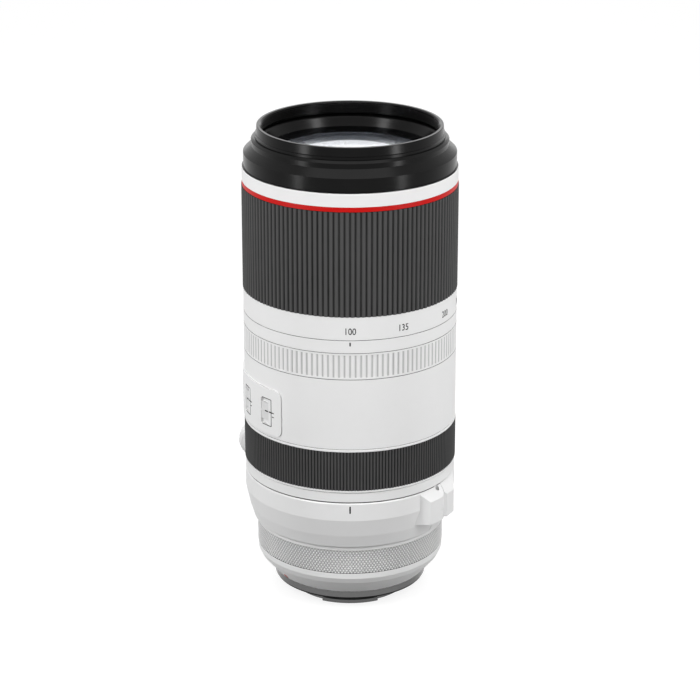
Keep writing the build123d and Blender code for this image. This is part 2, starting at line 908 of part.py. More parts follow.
def clamp_knob():
    """Serrated knob on the clamp screw."""
    start = lug_back_y + run_gap
    grip = extrude(toothed(knob_r - knob_tooth, knob_r, knob_count, knob_land_share), knob_height)
    cone, shoulder = knob_r - knob_edge, knob_height - knob_edge
    grip &= turned(
        (0, 0), (cone, 0), (knob_r, knob_edge), (knob_r, shoulder), (cone, knob_height), (0, knob_height)
    )
    body = upright(knob_hub_r, 0, 0, 0, knob_hub + overrun) + Pos(0, 0, knob_hub) * grip
    body -= upright(clamp_screw_r + seat_gap, 0, 0, -overrun, knob_socket)
    return Plane(origin=(-clamp_x, start, clamp_height()), z_dir=(0, 1, 0)) * body


def trim_ring():
    """Narrow fixed ring between the collar and the focus ring."""
    return turned(
        (trim_r - trim_wall, trim_z), (trim_r - edge_of(trim_wall), trim_z),
        (trim_r, trim_z + edge_of(trim_wall)), (trim_r, tube_floor_z - edge_of(trim_wall)),
        (trim_r - edge_of(trim_wall), tube_floor_z), (trim_r - trim_wall, tube_floor_z),
    )


def focus_bore():
    """Bore of the focus ring, which turns on the main barrel's rear sleeve."""
    return focus_seat_r - focus_wall


def focus_ring():
    """Focus ring with a bright lip each side of the grip."""
    top = focus_z + focus_height
    edge = edge_of(focus_wall)
    return turned(
        (focus_bore(), focus_z), (focus_lip_r - edge, focus_z), (focus_lip_r, focus_z + edge),
        (focus_lip_r, focus_z + focus_lip), (focus_seat_r, focus_z + focus_lip),
        (focus_seat_r, top - focus_lip), (focus_lip_r, top - focus_lip), (focus_lip_r, top - edge),
        (focus_lip_r - edge, top), (focus_bore(), top),
    )


def focus_grip():
    """Ribbed rubber on the focus ring."""
    low, high = focus_z + focus_lip + seat_gap, focus_z + focus_height - focus_lip - seat_gap
    return grip(focus_grip_root_r, focus_grip_r, focus_seat_r + seat_gap, focus_rib_count, 0, low, high)


def panel_wedge(outer, bore, grow):
    """The switch panel's outline, with rounded corners, made larger all round by grow."""
    low = main_z + panel_low - grow
    turn = degrees(grow / body_r)
    start, end = panel_start_angle - turn, panel_end_angle + turn
    body = wedge(outer, bore, low, low + panel_height + 2 * grow, start, end)
    corners = [e for e in body.edges() if e.length < (outer - bore) * 2]
    return fillet(corners, panel_corner)


def main_barrel():
    """Main shell: a rear sleeve for the focus ring, a web that holds the fixed tube and the outer wall."""
    top, web = main_z + main_height, main_z + web_height
    sleeve = focus_bore() - run_gap
    sleeve_inner = sleeve - focus_sleeve_wall
    shell = turned(
        (sleeve_inner, tube_floor_z + seat_gap), (sleeve, tube_floor_z + seat_gap), (sleeve, main_z),
        (body_r, main_z), (body_r, top), (main_bore, top), (main_bore, web), (fixed_r + seat_gap, web),
        (fixed_r + seat_gap, main_z), (sleeve_inner, main_z),
    )
    return shell - panel_wedge(body_r + overrun, body_r - panel_sink, seat_gap)


def window_middle(k):
    """Direction of a switch window, to the left of the index marks."""
    return window_first_angle + window_step_angle * k


def window_low_z():
    """Lower edge of the switch windows."""
    return main_z + window_low


def switch_panel():
    """Curved plate with four switch windows."""
    outer = body_r + panel_proud
    panel = panel_wedge(outer, body_r - panel_sink + seat_gap, 0)
    half = degrees(window_width / 2 / outer)
    low, high = window_low_z(), window_low_z() + window_height
    for k in range(len(switch_names)):
        middle = window_middle(k)
        panel -= wedge(outer + overrun, body_r - overrun, low, high, middle - half, middle + half)
    return panel


def slide_switch(k):
    """Sliding button in one of the windows, with a raised ridge across its middle."""
    outer = body_r + panel_proud - switch_dip
    bore = body_r - panel_sink + run_gap
    half = degrees((window_width / 2 - run_gap) / outer)
    low = window_low_z() + switch_stop + switch_travel
    start, end = window_middle(k) - half, window_middle(k) + half
    button = wedge(outer, bore, low, low + switch_length, start, end)
    ridge_low = low + (switch_length - switch_ridge) / 2
    crest = outer + switch_ridge_rise
    return button + wedge(crest, bore, ridge_low, ridge_low + switch_ridge, start, end)


def tension_ring():
    """Ring that sets how stiffly the zoom turns, with fine ribs between two plain lips."""
    top = tension_z + tension_height
    low, high = tension_z + tension_lip, top - tension_lip
    core = tube(tension_root_r, tension_bore, tension_z, top)
    ribs_bore = tension_root_r - edge_of(tension_wall)
    ribs = grip(tension_root_r, body_r, ribs_bore, tension_rib_count, 0, low, high)
    lips = tube(body_r, tension_bore, tension_z, low) + tube(body_r, tension_bore, high, top)
    return core + ribs + lips


def index_band():
    """Fixed band with the zoom mark; its sleeve passes under the tension ring into the main barrel."""
    return turned(
        (sleeve_bore, tension_z - sleeve_reach), (sleeve_r, tension_z - sleeve_reach), (sleeve_r, index_z),
        (body_r, index_z), (body_r, index_z + index_height), (sleeve_bore, index_z + index_height),
    )


def key_directions():
    """Directions of the zoom keys."""
    return spread(key_count, key_first_angle)


def key_bar(inner, outer, grow):
    """A key's box shape at the index direction, made larger all round by grow."""
    half = key_width / 2 + grow
    return block((-half, -outer, key_z - grow), (half, -inner, key_z + key_height + grow))


def zoom_ring():
    """Zoom ring: number band, seat for the grip and a skirt that reaches back to the keys."""
    top = zoom_z + zoom_height
    ring = turned(
        (skirt_bore, skirt_low_z), (skirt_r, skirt_low_z), (skirt_r, zoom_z), (body_r, zoom_z),
        (body_r, zoom_z + number_height), (zoom_seat_r, zoom_z + number_height), (zoom_seat_r, top),
        (skirt_bore, top), (skirt_bore, top - zoom_lip), (zoom_relief_r, top - zoom_lip),
        (zoom_relief_r, zoom_z + zoom_web), (skirt_bore, zoom_z + zoom_web),
    )
    for angle in key_directions():
        ring -= left(angle) * key_bar(skirt_bore - overrun, skirt_r + overrun, seat_gap)
    return ring


def zoom_grip():
    """Broad ribbed rubber on the zoom ring."""
    low, high = zoom_z + number_height + seat_gap, zoom_z + zoom_height
    bore = zoom_seat_r + seat_gap
    return grip(zoom_grip_root_r, zoom_grip_r, bore, zoom_rib_count, zoom_land_share, low, high)


def dust_seal():
    """Felt ring inside the front of the zoom ring."""
    high = zoom_z + zoom_height - zoom_lip - seat_gap
    return tube(zoom_relief_r - seat_gap, skirt_bore - run_gap / 2, high - seal_ring_height, high)


def zoom_keys():
    """Keys that carry the zoom ring's turn through the fixed tube to the cam tube."""
    bar = key_bar(cam_bore + seat_gap, skirt_r - seat_gap, 0)
    return Compound([(left(a) * bar).solid() for a in key_directions()])


def roller_directions():
    """Directions of the rollers that move the extension barrel."""
    return spread(roller_count, roller_first_angle)


def group_roller_directions():
    """Directions of the rollers that move the zoom group."""
    return spread(roller_count, roller_first_angle - group_lead_angle)


def straight_slot(bore, outer, low_centre, travel):
    """Slot along the axis for a roller, at the index direction."""
    half = roller_r + slot_gap
    return block(
        (-half, -outer - overrun, low_centre - half), (half, overrun - bore, low_centre + travel + half)
    )


def helical_slot(low_centre, travel, angle_left):
    """Twisted cutter for a cam slot: it starts at a direction and turns through the whole zoom turn."""
    slope = cam_r * radians(zoom_turn_angle) / travel
    half = (roller_r + slot_gap) * hypot(1, slope)
    length = travel + 2 * slot_end
    turn = zoom_turn_angle * length / travel
    inner, outer = cam_bore - overrun, cam_r + overrun
    low = low_centre - slot_end
    corners = [(-half, -outer, low), (half, -outer, low), (half, -inner, low), (-half, -inner, low)]
    section = Face(Wire.make_polygon(corners))
    twisted = Solid.extrude_linear_with_rotation(section, (0, 0, low), (0, 0, length), turn)
    return Rot(0, 0, -angle_left - zoom_turn_angle * slot_end / travel) * twisted


def cam_tube():
    """Cam tube: long slots drive the extension barrel and short, flatter ones the zoom group."""
    body = tube(cam_r, cam_bore, tube_floor_z + run_gap, cam_top_z)
    for angle in key_directions():
        body -= left(angle) * key_bar(cam_bore - overrun, cam_r + overrun, seat_gap)
    for angle in roller_directions():
        body -= helical_slot(roller_z, zoom_travel, angle)
    for angle in group_roller_directions():
        body -= helical_slot(group_roller_z, group_travel, angle)
    return body


def fixed_tube():
    """Fixed tube: straight slots guide the extension barrel, and two arc slots let the keys turn."""
    body = turned(
        (fixed_bore, tube_floor_z + seat_gap), (fixed_r, tube_floor_z + seat_gap), (fixed_r, fixed_top_z),
        (fixed_bore - tube_lip_reach, fixed_top_z), (fixed_bore - tube_lip_reach, fixed_top_z - tube_lip),
        (fixed_bore, fixed_top_z - tube_lip),
    )
    for angle in roller_directions():
        body -= left(angle) * straight_slot(fixed_bore, fixed_r, roller_z, zoom_travel)
    margin = degrees((key_width / 2 + key_slot_gap) / fixed_bore)
    low, high = key_z - key_slot_gap, key_z + key_height + key_slot_gap
    for angle in key_directions():
        start, end = angle - margin, angle + zoom_turn_angle + margin
        body -= wedge(fixed_r + overrun, fixed_bore - overrun, low, high, start, end)
    return body


def guide_tube():
    """Inner tube whose straight slots guide the zoom group."""
    body = tube(guide_r, guide_bore, tube_floor_z + seat_gap, guide_top_z)
    for angle in group_roller_directions():
        body -= left(angle) * straight_slot(guide_bore, guide_r, group_roller_z, group_travel)
    return body


def extension_barrel():
    """Barrel that slides out of the zoom ring and carries the front group."""
    body = tube(extension_r, extension_bore, extension_low_z, extension_top_z)
    inner, outer = extension_bore - overrun, extension_r + overrun
    for angle in roller_directions():
        body -= radial_rod(roller_r + seat_gap, inner, outer, roller_z, angle)
    return body


def barrel_rollers():
    """Three rollers that run in the long cam slots."""
    inner, outer = cam_bore + seat_gap, extension_r - seat_gap
    return Compound([radial_rod(roller_r, inner, outer, roller_z, a).solid() for a in roller_directions()])


def red_ring():
    """Red ring behind the name ring."""
    return tube(body_r, extension_r + seat_gap, red_z, red_z + red_height)


def name_ring():
    """White ring behind the black front ring."""
    low = name_z + seat_gap
    return turned(
        (extension_r + seat_gap, low), (body_r, low),
        (body_r, name_z + name_height - edge_of(tension_wall)),
        (body_r - edge_of(tension_wall), name_z + name_height),
        (extension_r + seat_gap, name_z + name_height),
    )


def thread_low_z():
    """Height of the filter thread's inner end."""
    return front_top_z - thread_height


def front_ring():
    """Black front ring: hood bayonet outside, filter thread inside."""
    lip_z = extension_top_z + seat_gap
    bore = extension_r + seat_gap
    edge = edge_of(tension_wall)
    return turned(
        (bore, front_z), (front_skirt_r - edge, front_z), (front_skirt_r, front_z + edge),
        (front_skirt_r, front_cone_z), (front_flange_r, front_flange_z),
        (front_flange_r, groove_z - front_flange_edge), (front_flange_r - front_flange_edge, groove_z),
        (groove_r, groove_z), (groove_r, rim_z - edge),
        (rim_foot_r, rim_z), (rim_r, front_top_z - rim_edge), (rim_r - rim_edge, front_top_z),
        (thread_r + thread_mouth, front_top_z), (thread_r, front_top_z - thread_mouth),
        (thread_r, thread_low_z()), (funnel_r, thread_low_z()), (funnel_r, lip_z), (bore, lip_z),
    )


def front_glass_z():
    """Height of the front element's rear edge; its crown touches the retainer's bore."""
    crown_at_retainer = crown_rise(front_glass_r, front_glass_crown, retainer_bore)
    return cell_flange_z + cell_flange - crown_at_retainer - front_glass_edge


def front_cell_seat_z():
    """Height of the ledge that the front element's rear crown rests on."""
    crown_at_ledge = crown_rise(front_glass_r, front_glass_back, front_cell_lip_r)
    return front_glass_z() - crown_at_ledge - seat_gap


def front_cell_lip_z():
    """Height of the ledge's rear face, between the front element and the second one."""
    return front_cell_seat_z() - front_cell_lip


def front_lens_cell():
    """Cell that holds the front elements in the extension barrel."""
    flange_top = cell_flange_z + cell_flange
    glass_bore = front_glass_r + seat_gap
    seat_z, lip_z = front_cell_seat_z(), front_cell_lip_z()
    low = cell_flange_z - front_cell_length
    return turned(
        (front_cell_bore, low), (front_cell_r, low), (front_cell_r, cell_flange_z),
        (extension_bore - seat_gap, cell_flange_z), (extension_bore - seat_gap, flange_top),
        (glass_bore, flange_top), (glass_bore, seat_z), (front_cell_lip_r, seat_z),
        (front_cell_lip_r, lip_z), (front_cell_bore, lip_z),
    )


def front_element():
    """Large front element, crowned on both faces."""
    return glass(front_glass_r, front_glass_z(), front_glass_edge, front_glass_crown, front_glass_back)


def second_element():
    """Second element, behind the front one."""
    low = front_cell_lip_z() - seat_gap - second_glass_edge
    radius = front_cell_bore - seat_gap
    return glass(radius, low, second_glass_edge, -second_glass_hollow, second_glass_crown)


def front_retainer():
    """Black ring that holds the front element, with a funnel up to the filter thread."""
    low = cell_flange_z + cell_flange + seat_gap
    outer, top = extension_bore - seat_gap, extension_top_z
    funnel, lip = funnel_r - 2 * seat_gap, thread_low_z() - retainer_gap
    return turned(
        (retainer_bore, low), (outer, low), (outer, top), (funnel, top), (funnel, lip),
        (funnel - retainer_wall, lip), (retainer_throat_r, low + retainer_throat),
        (retainer_bore, low + retainer_edge),
    )


def zoom_group_cell():
    """Cell of the moving zoom group."""
    top, floor = group_z + group_height, group_z + group_floor
    body = turned(
        (group_bore, group_z), (group_r, group_z), (group_r, top), (group_glass_seat, top),
        (group_glass_seat, floor), (group_bore, floor),
    )
    inner, outer = group_glass_seat - overrun, group_r + overrun
    for angle in group_roller_directions():
        body -= radial_rod(roller_r + seat_gap, inner, outer, group_roller_z, angle)
    return body


def zoom_group_lens():
    """Element of the zoom group."""
    radius, top = group_glass_seat - seat_gap, group_z + group_height - group_floor
    return glass(radius, top - group_glass_edge, group_glass_edge, -group_glass_hollow, -group_glass_crown)


def zoom_group_rollers():
    """Three rollers that run in the flatter cam slots."""
    inner, outer = group_glass_seat + seat_gap, cam_r - seat_gap
    places = group_roller_directions()
    return Compound([radial_rod(roller_r, inner, outer, group_roller_z, a).solid() for a in places])


def unit_cup(low, height, floor, bore):
    """Cup that seats in the guide tube and holds an optical unit."""
    return turned(
        (bore, low), (unit_r, low), (unit_r, low + height), (unit_r - unit_wall, low + height),
        (unit_r - unit_wall, low + floor), (bore, low + floor),
    )


def iris_housing():
    """Housing of the iris."""
    return unit_cup(iris_z, iris_height, iris_floor, iris_aperture)


def iris_blades():
    """Nine curved blades, each on its own level, drawn fully open."""
    blades = []
    for k, angle in enumerate(spread(blade_count)):
        low = iris_z + iris_floor + seat_gap + k * blade_pitch
        half = blade_angle / 2
        high = low + blade_thickness
        blades.append(wedge(blade_r, blade_bore, low, high, angle - half, angle + half).solid())
    return Compound(blades)


def stabiliser_housing():
    """Housing of the image stabiliser, with the focus rods' upper ends in its floor."""
    body = unit_cup(stabiliser_z, stabiliser_height, stabiliser_floor, stabiliser_bore)
    for side in (-1, 1):
        top = stabiliser_z + rod_seat + seat_gap
        body -= upright(rod_r + seat_gap, side * rod_circle, 0, stabiliser_z - overrun, top)
    return body


def stabiliser_frame():
    """Frame that slides sideways on the housing's floor, and leaves the holder room to move in it."""
    low = stabiliser_z + stabiliser_floor + run_gap
    return tube(frame_r, frame_bore, low, low + frame_height)


def stabiliser_holder():
    """Holder that slides in the frame, square to the frame's own travel."""
    low = stabiliser_z + stabiliser_floor + run_gap
    lip = low + holder_lip
    return turned(
        (holder_lip_r, low), (holder_r, low), (holder_r, low + holder_height),
        (holder_glass_r + seat_gap, low + holder_height), (holder_glass_r + seat_gap, lip),
        (holder_lip_r, lip),
    )


def stabiliser_lens():
    """Element of the stabiliser."""
    low = stabiliser_z + stabiliser_floor + run_gap + holder_lip + seat_gap
    return glass(holder_glass_r, low, holder_glass_edge, holder_glass_crown, -holder_glass_crown / 2)


def focus_cell():
    """Moving focus cell: two sleeves run on the guide rods, and a coil arm faces the motor."""
    low, high = focus_cell_z, focus_cell_z + focus_cell_height
    lip = low + focus_cell_lip
    body = turned(
        (focus_cell_lip_r, low), (focus_cell_r, low), (focus_cell_r, high),
        (focus_glass_r + seat_gap, high), (focus_glass_r + seat_gap, lip), (focus_cell_lip_r, lip),
    )
    web = rod_sleeve_r / 2
    for side in (-1, 1):
        inner, outer = sorted((side * (focus_glass_r + overrun), side * rod_circle))
        body += block((inner, -web, low), (outer, web, high))
        body += upright(rod_sleeve_r, side * rod_circle, 0, low, high)
        body -= upright(rod_r + run_gap, side * rod_circle, 0, low - overrun, high + overrun)
    coil_end = focus_cell_r + coil_depth
    body += block((-coil_width / 2, focus_glass_r + overrun, low), (coil_width / 2, coil_end, high))
    return body


def focus_lens():
    """Element of the focus group."""
    low = focus_cell_z + focus_cell_lip + seat_gap
    return glass(focus_glass_r, low, focus_glass_edge, focus_glass_hollow, -focus_glass_hollow)


def focus_guide_rods():
    """Two steel rods from the rear cell's plate to the stabiliser's floor."""
    low, high = rear_plate_z + seat_gap, stabiliser_z + rod_seat
    return Compound([upright(rod_r, side * rod_circle, 0, low, high).solid() for side in (-1, 1)])


def focus_motor():
    """Magnet yoke of the linear focus motor."""
    inner = focus_cell_r + coil_depth + run_gap
    low = rear_cell_top + seat_gap
    high = focus_cell_z + focus_cell_height + focus_travel + yoke_spare
    return block((-yoke_width / 2, inner, low), (yoke_width / 2, inner + yoke_depth, high))


def rear_cell():
    """Cell of the rear element, on a plate that closes the rear barrel."""
    outer = rear_barrel_bore - seat_gap
    lip = rear_cell_z + rear_cell_lip
    body = turned(
        (rear_cell_lip_r, rear_cell_z), (rear_cell_r, rear_cell_z), (rear_cell_r, rear_plate_z),
        (outer, rear_plate_z), (outer, rear_cell_top), (rear_cell_bore, rear_cell_top),
        (rear_cell_bore, lip), (rear_cell_lip_r, lip),
    )
    for side in (-1, 1):
        body -= upright(rod_r + seat_gap, side * rod_circle, 0, rear_plate_z, rear_cell_top + overrun)
    return body


def rear_element():
    """Rear element."""
    low = rear_cell_z + rear_cell_lip + seat_gap
    return glass(rear_cell_bore - seat_gap, low, rear_glass_edge, rear_glass_crown, -rear_glass_crown / 2)


def main_board():
    """Ring-shaped circuit board behind the mount."""
    low = rear_ring_z + rear_ring_floor + board_rise
    return tube(board_r, board_bore, low, low + board_thickness)


pieces = {
    "bayonet_mount": bayonet_mount,
    "mount_screws": mount_screws,
    "mount_seal": mount_seal,
    "rear_baffle": rear_baffle,
    "contact_block": contact_block,
    "contact_pins": contact_pins,
    "rear_ring": rear_ring,
    "mount_index_dot": mount_index_dot,
    "rear_barrel": rear_barrel,
    "control_ring": control_ring,
    "collar_index_half": collar_index_half,
    "collar_foot_half": collar_foot_half,
    "hinge_pin": hinge_pin,
    "tripod_bush": tripod_bush,
    "clamp_screw": clamp_screw,
    "clamp_knob": clamp_knob,
    "trim_ring": trim_ring,
    "focus_ring": focus_ring,
    "focus_grip": focus_grip,
    "main_barrel": main_barrel,
    "switch_panel": switch_panel,
    "tension_ring": tension_ring,
    "index_band": index_band,
    "zoom_ring": zoom_ring,
    "zoom_grip": zoom_grip,
    "dust_seal": dust_seal,
    "zoom_keys": zoom_keys,
    "cam_tube": cam_tube,
    "fixed_tube": fixed_tube,
    "guide_tube": guide_tube,
    "extension_barrel": extension_barrel,
    "barrel_rollers": barrel_rollers,
    "red_ring": red_ring,
    "name_ring": name_ring,
    "front_ring": front_ring,
    "front_lens_cell": front_lens_cell,
    "front_element": front_element,
    "second_element": second_element,
    "front_retainer": front_retainer,
    "zoom_group_cell": zoom_group_cell,
    "zoom_group_lens": zoom_group_lens,
    "zoom_group_rollers": zoom_group_rollers,
    "iris_housing": iris_housing,
    "iris_blades": iris_blades,
    "stabiliser_housing": stabiliser_housing,
    "stabiliser_frame": stabiliser_frame,
    "stabiliser_holder": stabiliser_holder,
    "stabiliser_lens": stabiliser_lens,
    "focus_cell": focus_cell,
    "focus_lens": focus_lens,
    "focus_guide_rods": focus_guide_rods,
    "focus_motor": focus_motor,
    "rear_cell": rear_cell,
    "rear_element": rear_element,
    "main_board": main_board,
}

for name, make in pieces.items():
    export_step(make(), f"parts/{name}.step")
for k, name in enumerate(switch_names):
    export_step(slide_switch(k), f"parts/{name}.step")
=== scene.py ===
# %% [markdown]
# # A white telephoto zoom lens
#
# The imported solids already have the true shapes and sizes, so this lesson is about how they look:
# satin paint, ribbed rubber, turned metal, coated glass, and the small things that are too fine for
# the solids, such as the knurl on the control ring, screw threads, printed numbers and marks.
#
# Everything is in metres. The lens axis is Z, the index marks face -Y and the tripod foot +Y. A
# direction round the lens is an angle to the right of the index marks, as the camera sees them.

from math import atan2, ceil, cos, degrees, pi, radians, sin

import bmesh
import bpy
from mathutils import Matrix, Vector


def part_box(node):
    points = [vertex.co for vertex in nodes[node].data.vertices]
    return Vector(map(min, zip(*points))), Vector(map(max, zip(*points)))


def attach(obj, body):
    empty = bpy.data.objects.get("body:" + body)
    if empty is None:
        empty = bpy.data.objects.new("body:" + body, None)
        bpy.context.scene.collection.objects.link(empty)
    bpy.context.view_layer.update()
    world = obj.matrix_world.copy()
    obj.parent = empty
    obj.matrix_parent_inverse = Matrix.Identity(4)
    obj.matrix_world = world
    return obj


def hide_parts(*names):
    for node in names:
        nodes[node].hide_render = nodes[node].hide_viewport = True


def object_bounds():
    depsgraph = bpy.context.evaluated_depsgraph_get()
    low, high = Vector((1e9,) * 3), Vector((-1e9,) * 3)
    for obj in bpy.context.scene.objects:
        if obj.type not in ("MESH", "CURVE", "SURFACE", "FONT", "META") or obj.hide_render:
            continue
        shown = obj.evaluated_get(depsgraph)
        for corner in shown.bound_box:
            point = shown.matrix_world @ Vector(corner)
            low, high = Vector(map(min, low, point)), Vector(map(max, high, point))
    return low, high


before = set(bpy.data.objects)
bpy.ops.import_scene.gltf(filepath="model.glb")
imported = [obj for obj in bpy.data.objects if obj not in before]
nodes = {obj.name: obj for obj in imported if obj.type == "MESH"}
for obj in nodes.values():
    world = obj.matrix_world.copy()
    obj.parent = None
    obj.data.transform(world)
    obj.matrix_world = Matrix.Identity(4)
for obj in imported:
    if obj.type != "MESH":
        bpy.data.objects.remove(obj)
cad_low, cad_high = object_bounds()
mm = 0.001
print("lens box in mm:", [round(v / mm, 1) for v in (*cad_low, *cad_high)])

# %% [markdown]
# ## Camera
#
# The photograph was taken with a long lens from about a metre away, looking 20 degrees down. The
# numbers come from fitting the ellipses of the rings, which fixes distance, height and focal length
# together. A tiny shift puts the lens axis where the photograph has it.

# %% Camera
sensor_width = 36
camera_place = (0, -1.0547, 0.4847)
camera_target = (0, 0, 0.1047)
focal_length = 130.37
axis_shift, height_shift = -0.0001, 0.0007

camera = bpy.data.objects.new("camera", bpy.data.cameras.new("camera"))
bpy.context.scene.collection.objects.link(camera)
camera.location = camera_place
camera.rotation_mode = "QUATERNION"
camera.rotation_quaternion = (Vector(camera_target) - camera.location).to_track_quat("-Z", "Y")
camera.data.sensor_width = sensor_width
camera.data.lens = focal_length
camera.data.shift_x, camera.data.shift_y = axis_shift, height_shift
bpy.context.scene.camera = camera
camera_drop = camera_place[2] - camera_target[2]
print("camera looks down by", round(degrees(atan2(camera_drop, -camera_place[1])), 1), "degrees")

# %% [markdown]
# ## Studio
#
# A product like this is lit by two tall soft boxes, one each side of the camera. Each leaves a soft
# vertical streak on the black front ring, about 28 degrees round from the middle, so the boxes stand
# at twice that angle. They are narrow, and reach down to the floor, because the camera looks down
# and an upright wall mirrors what stands low. A third box overhead lights the upward faces, and two
# broad ones in front and behind fill the shadows, so that the back is lit as well.
#
# The white of the background isn't made with more light: the floor and the world show white only to
# rays that come straight from the camera, a mirror-like surface or glass. Light that falls on the
# lens sees a darker floor, which keeps its downward faces grey.

# %% Helpers for node trees
def put(tree, kind, sockets=None, **settings):
    """Adds a node. Each named socket gets a plain value or a link from another socket."""
    node = tree.nodes.new(kind)
    for key, value in settings.items():
        setattr(node, key, value)
    for key, value in (sockets or {}).items():
        if isinstance(value, bpy.types.NodeSocket):
            tree.links.new(value, node.inputs[key])
        else:
            node.inputs[key].default_value = value
    return node


def calculate(tree, operation, *values, clamp=False):
    """A Math node's output."""
    sockets = {i: value for i, value in enumerate(values)}
    return put(tree, "ShaderNodeMath", sockets, operation=operation, use_clamp=clamp).outputs[0]


def seen_directly(tree):
    """1 for rays from the camera, a gloss or glass, and 0 for light that falls on things."""
    path = put(tree, "ShaderNodeLightPath").outputs
    mirrored = calculate(tree, "MAXIMUM", path["Is Glossy Ray"], path["Is Transmission Ray"])
    return calculate(tree, "MAXIMUM", path["Is Camera Ray"], mirrored)


def ranged(tree, value, low, high):
    """A value from 0 to 1 stretched to a range."""
    return put(tree, "ShaderNodeMapRange", {"Value": value, "To Min": low, "To Max": high}).outputs[0]


# %% World and floor
ambient = 0.3
floor_reach = 9
floor_level = cad_low.z
floor_glow = 0.8
floor_tone, floor_bounce = 0.3, 0.08

world = bpy.data.worlds.new("studio")
world.use_nodes = True
world.node_tree.nodes.clear()
strength = ranged(world.node_tree, seen_directly(world.node_tree), ambient, 1)
sky = put(world.node_tree, "ShaderNodeBackground", {"Color": (1, 1, 1, 1), "Strength": strength})
put(world.node_tree, "ShaderNodeOutputWorld", {"Surface": sky.outputs[0]})
bpy.context.scene.world = world

square = ((-1, -1), (1, -1), (1, 1), (-1, 1))
floor_corners = [(x * floor_reach, y * floor_reach, floor_level) for x, y in square]
floor_mesh = bpy.data.meshes.new("floor")
floor_mesh.from_pydata(floor_corners, [], [(0, 1, 2, 3)])
floor = bpy.data.objects.new("floor", floor_mesh)
bpy.context.scene.collection.objects.link(floor)

floor_paint = bpy.data.materials.new("studio_floor")
floor_paint.use_nodes = True
tree = floor_paint.node_tree
tree.nodes.clear()
direct = seen_directly(tree)
matte = put(tree, "ShaderNodeBsdfDiffuse", {"Color": ranged(tree, direct, floor_bounce, floor_tone)})
glow = put(tree, "ShaderNodeEmission", {"Strength": calculate(tree, "MULTIPLY", direct, floor_glow)})
both = put(tree, "ShaderNodeAddShader", {0: matte.outputs[0], 1: glow.outputs[0]})
put(tree, "ShaderNodeOutputMaterial", {"Surface": both.outputs[0]})
floor_mesh.materials.append(floor_paint)
print("floor at", round(floor_level / mm, 2), "mm")

# %% Soft boxes
box_distance, box_turn, box_rise = 0.5, 55, 0.34
box_width, box_height, box_power = 0.08, 0.7, 2.6
top_place, top_size, top_power = Vector((0, 0.1, 1.4)), 1.3, 8.2
fill_distance, fill_rise, fill_size = 2.0, 0.9, 1.6
fill_power, back_power = 5.6, 6.5
lens_middle = Vector((0, 0, (cad_low.z + cad_high.z) / 2))


def soft_box(name, place, width, height, power):
    """An area lamp that faces the middle of the lens, and that the camera doesn't see."""
    lamp = bpy.data.lights.new(name, "AREA")
    lamp.shape = "RECTANGLE"
    lamp.size, lamp.size_y = width, height
    lamp.energy = power
    box = bpy.data.objects.new(name, lamp)
    bpy.context.scene.collection.objects.link(box)
    box.location = place
    box.rotation_mode = "QUATERNION"
    box.rotation_quaternion = (lens_middle - box.location).to_track_quat("-Z", "Y")
    box.visible_camera = False


def round_place(distance, turn, height):
    """A point at a distance from the axis, turned to the right of the index marks."""
    return Vector((distance * sin(radians(turn)), -distance * cos(radians(turn)), height))


for side, turn in (("left", -box_turn), ("right", box_turn)):
    soft_box("box_" + side, round_place(box_distance, turn, box_rise), box_width, box_height, box_power)
soft_box("box_top", top_place, top_size, top_size, top_power)
for name, turn, power in (("fill", 0, fill_power), ("back_fill", 180, back_power)):
    soft_box(name, round_place(fill_distance, turn, fill_rise), fill_size, fill_size, power)
bpy.context.scene.view_settings.view_transform = "Standard"

# %% [markdown]
# ## Shared surface effects
#
# Paint, rubber and metal share a few effects, so each is a node group that is built once: a fine
# grain, the marks that a lathe leaves round the axis, dust that settles on upward faces, wear on
# edges, and two that read the distance from the lens axis. Those two paint shade, which makes a ring
# look like a real one: a ring is painted dark at its ends, as painted shade in the gap beside it, and
# the foot of each rib is painted darker than its crest, as painted shade in the grooves. A group
# hands out values; the shader stays in the material.

# %% Group helpers
def new_group(name, inputs, outputs):
    """An empty shader node group, with its input and output sockets."""
    tree = bpy.data.node_groups.new(name, "ShaderNodeTree")
    for label, value in inputs.items():
        socket = tree.interface.new_socket(label, in_out="INPUT", socket_type="NodeSocketFloat")
        socket.default_value = value
    for label in outputs:
        tree.interface.new_socket(label, in_out="OUTPUT", socket_type="NodeSocketFloat")
    return tree, tree.nodes.new("NodeGroupInput").outputs, tree.nodes.new("NodeGroupOutput").inputs


def object_place(tree):
    """The place on the object, which is the same as in the frame."""
    return put(tree, "ShaderNodeTexCoord").outputs["Object"]


def axis_place(tree):
    """Distance from the lens axis, and height along it."""
    x, y, z = put(tree, "ShaderNodeSeparateXYZ", {0: object_place(tree)}).outputs
    x_squared, y_squared = calculate(tree, "MULTIPLY", x, x), calculate(tree, "MULTIPLY", y, y)
    return calculate(tree, "SQRT", calculate(tree, "ADD", x_squared, y_squared)), z


# %% Grain: fine bumps and slow changes of tone
cloud_rate = 45.0

grain, given, result = new_group("grain", {"Size": 0.0003}, ("Height", "Tone"))
rate = calculate(grain, "DIVIDE", 1.0, given["Size"])
fine = put(grain, "ShaderNodeTexNoise", {"Vector": object_place(grain), "Scale": rate, "Detail": 2.0})
slow = put(grain, "ShaderNodeTexNoise", {
    "Vector": object_place(grain), "Scale": cloud_rate, "Detail": 3.0,
})
grain.links.new(fine.outputs["Fac"], result["Height"])
grain.links.new(slow.outputs["Fac"], result["Tone"])

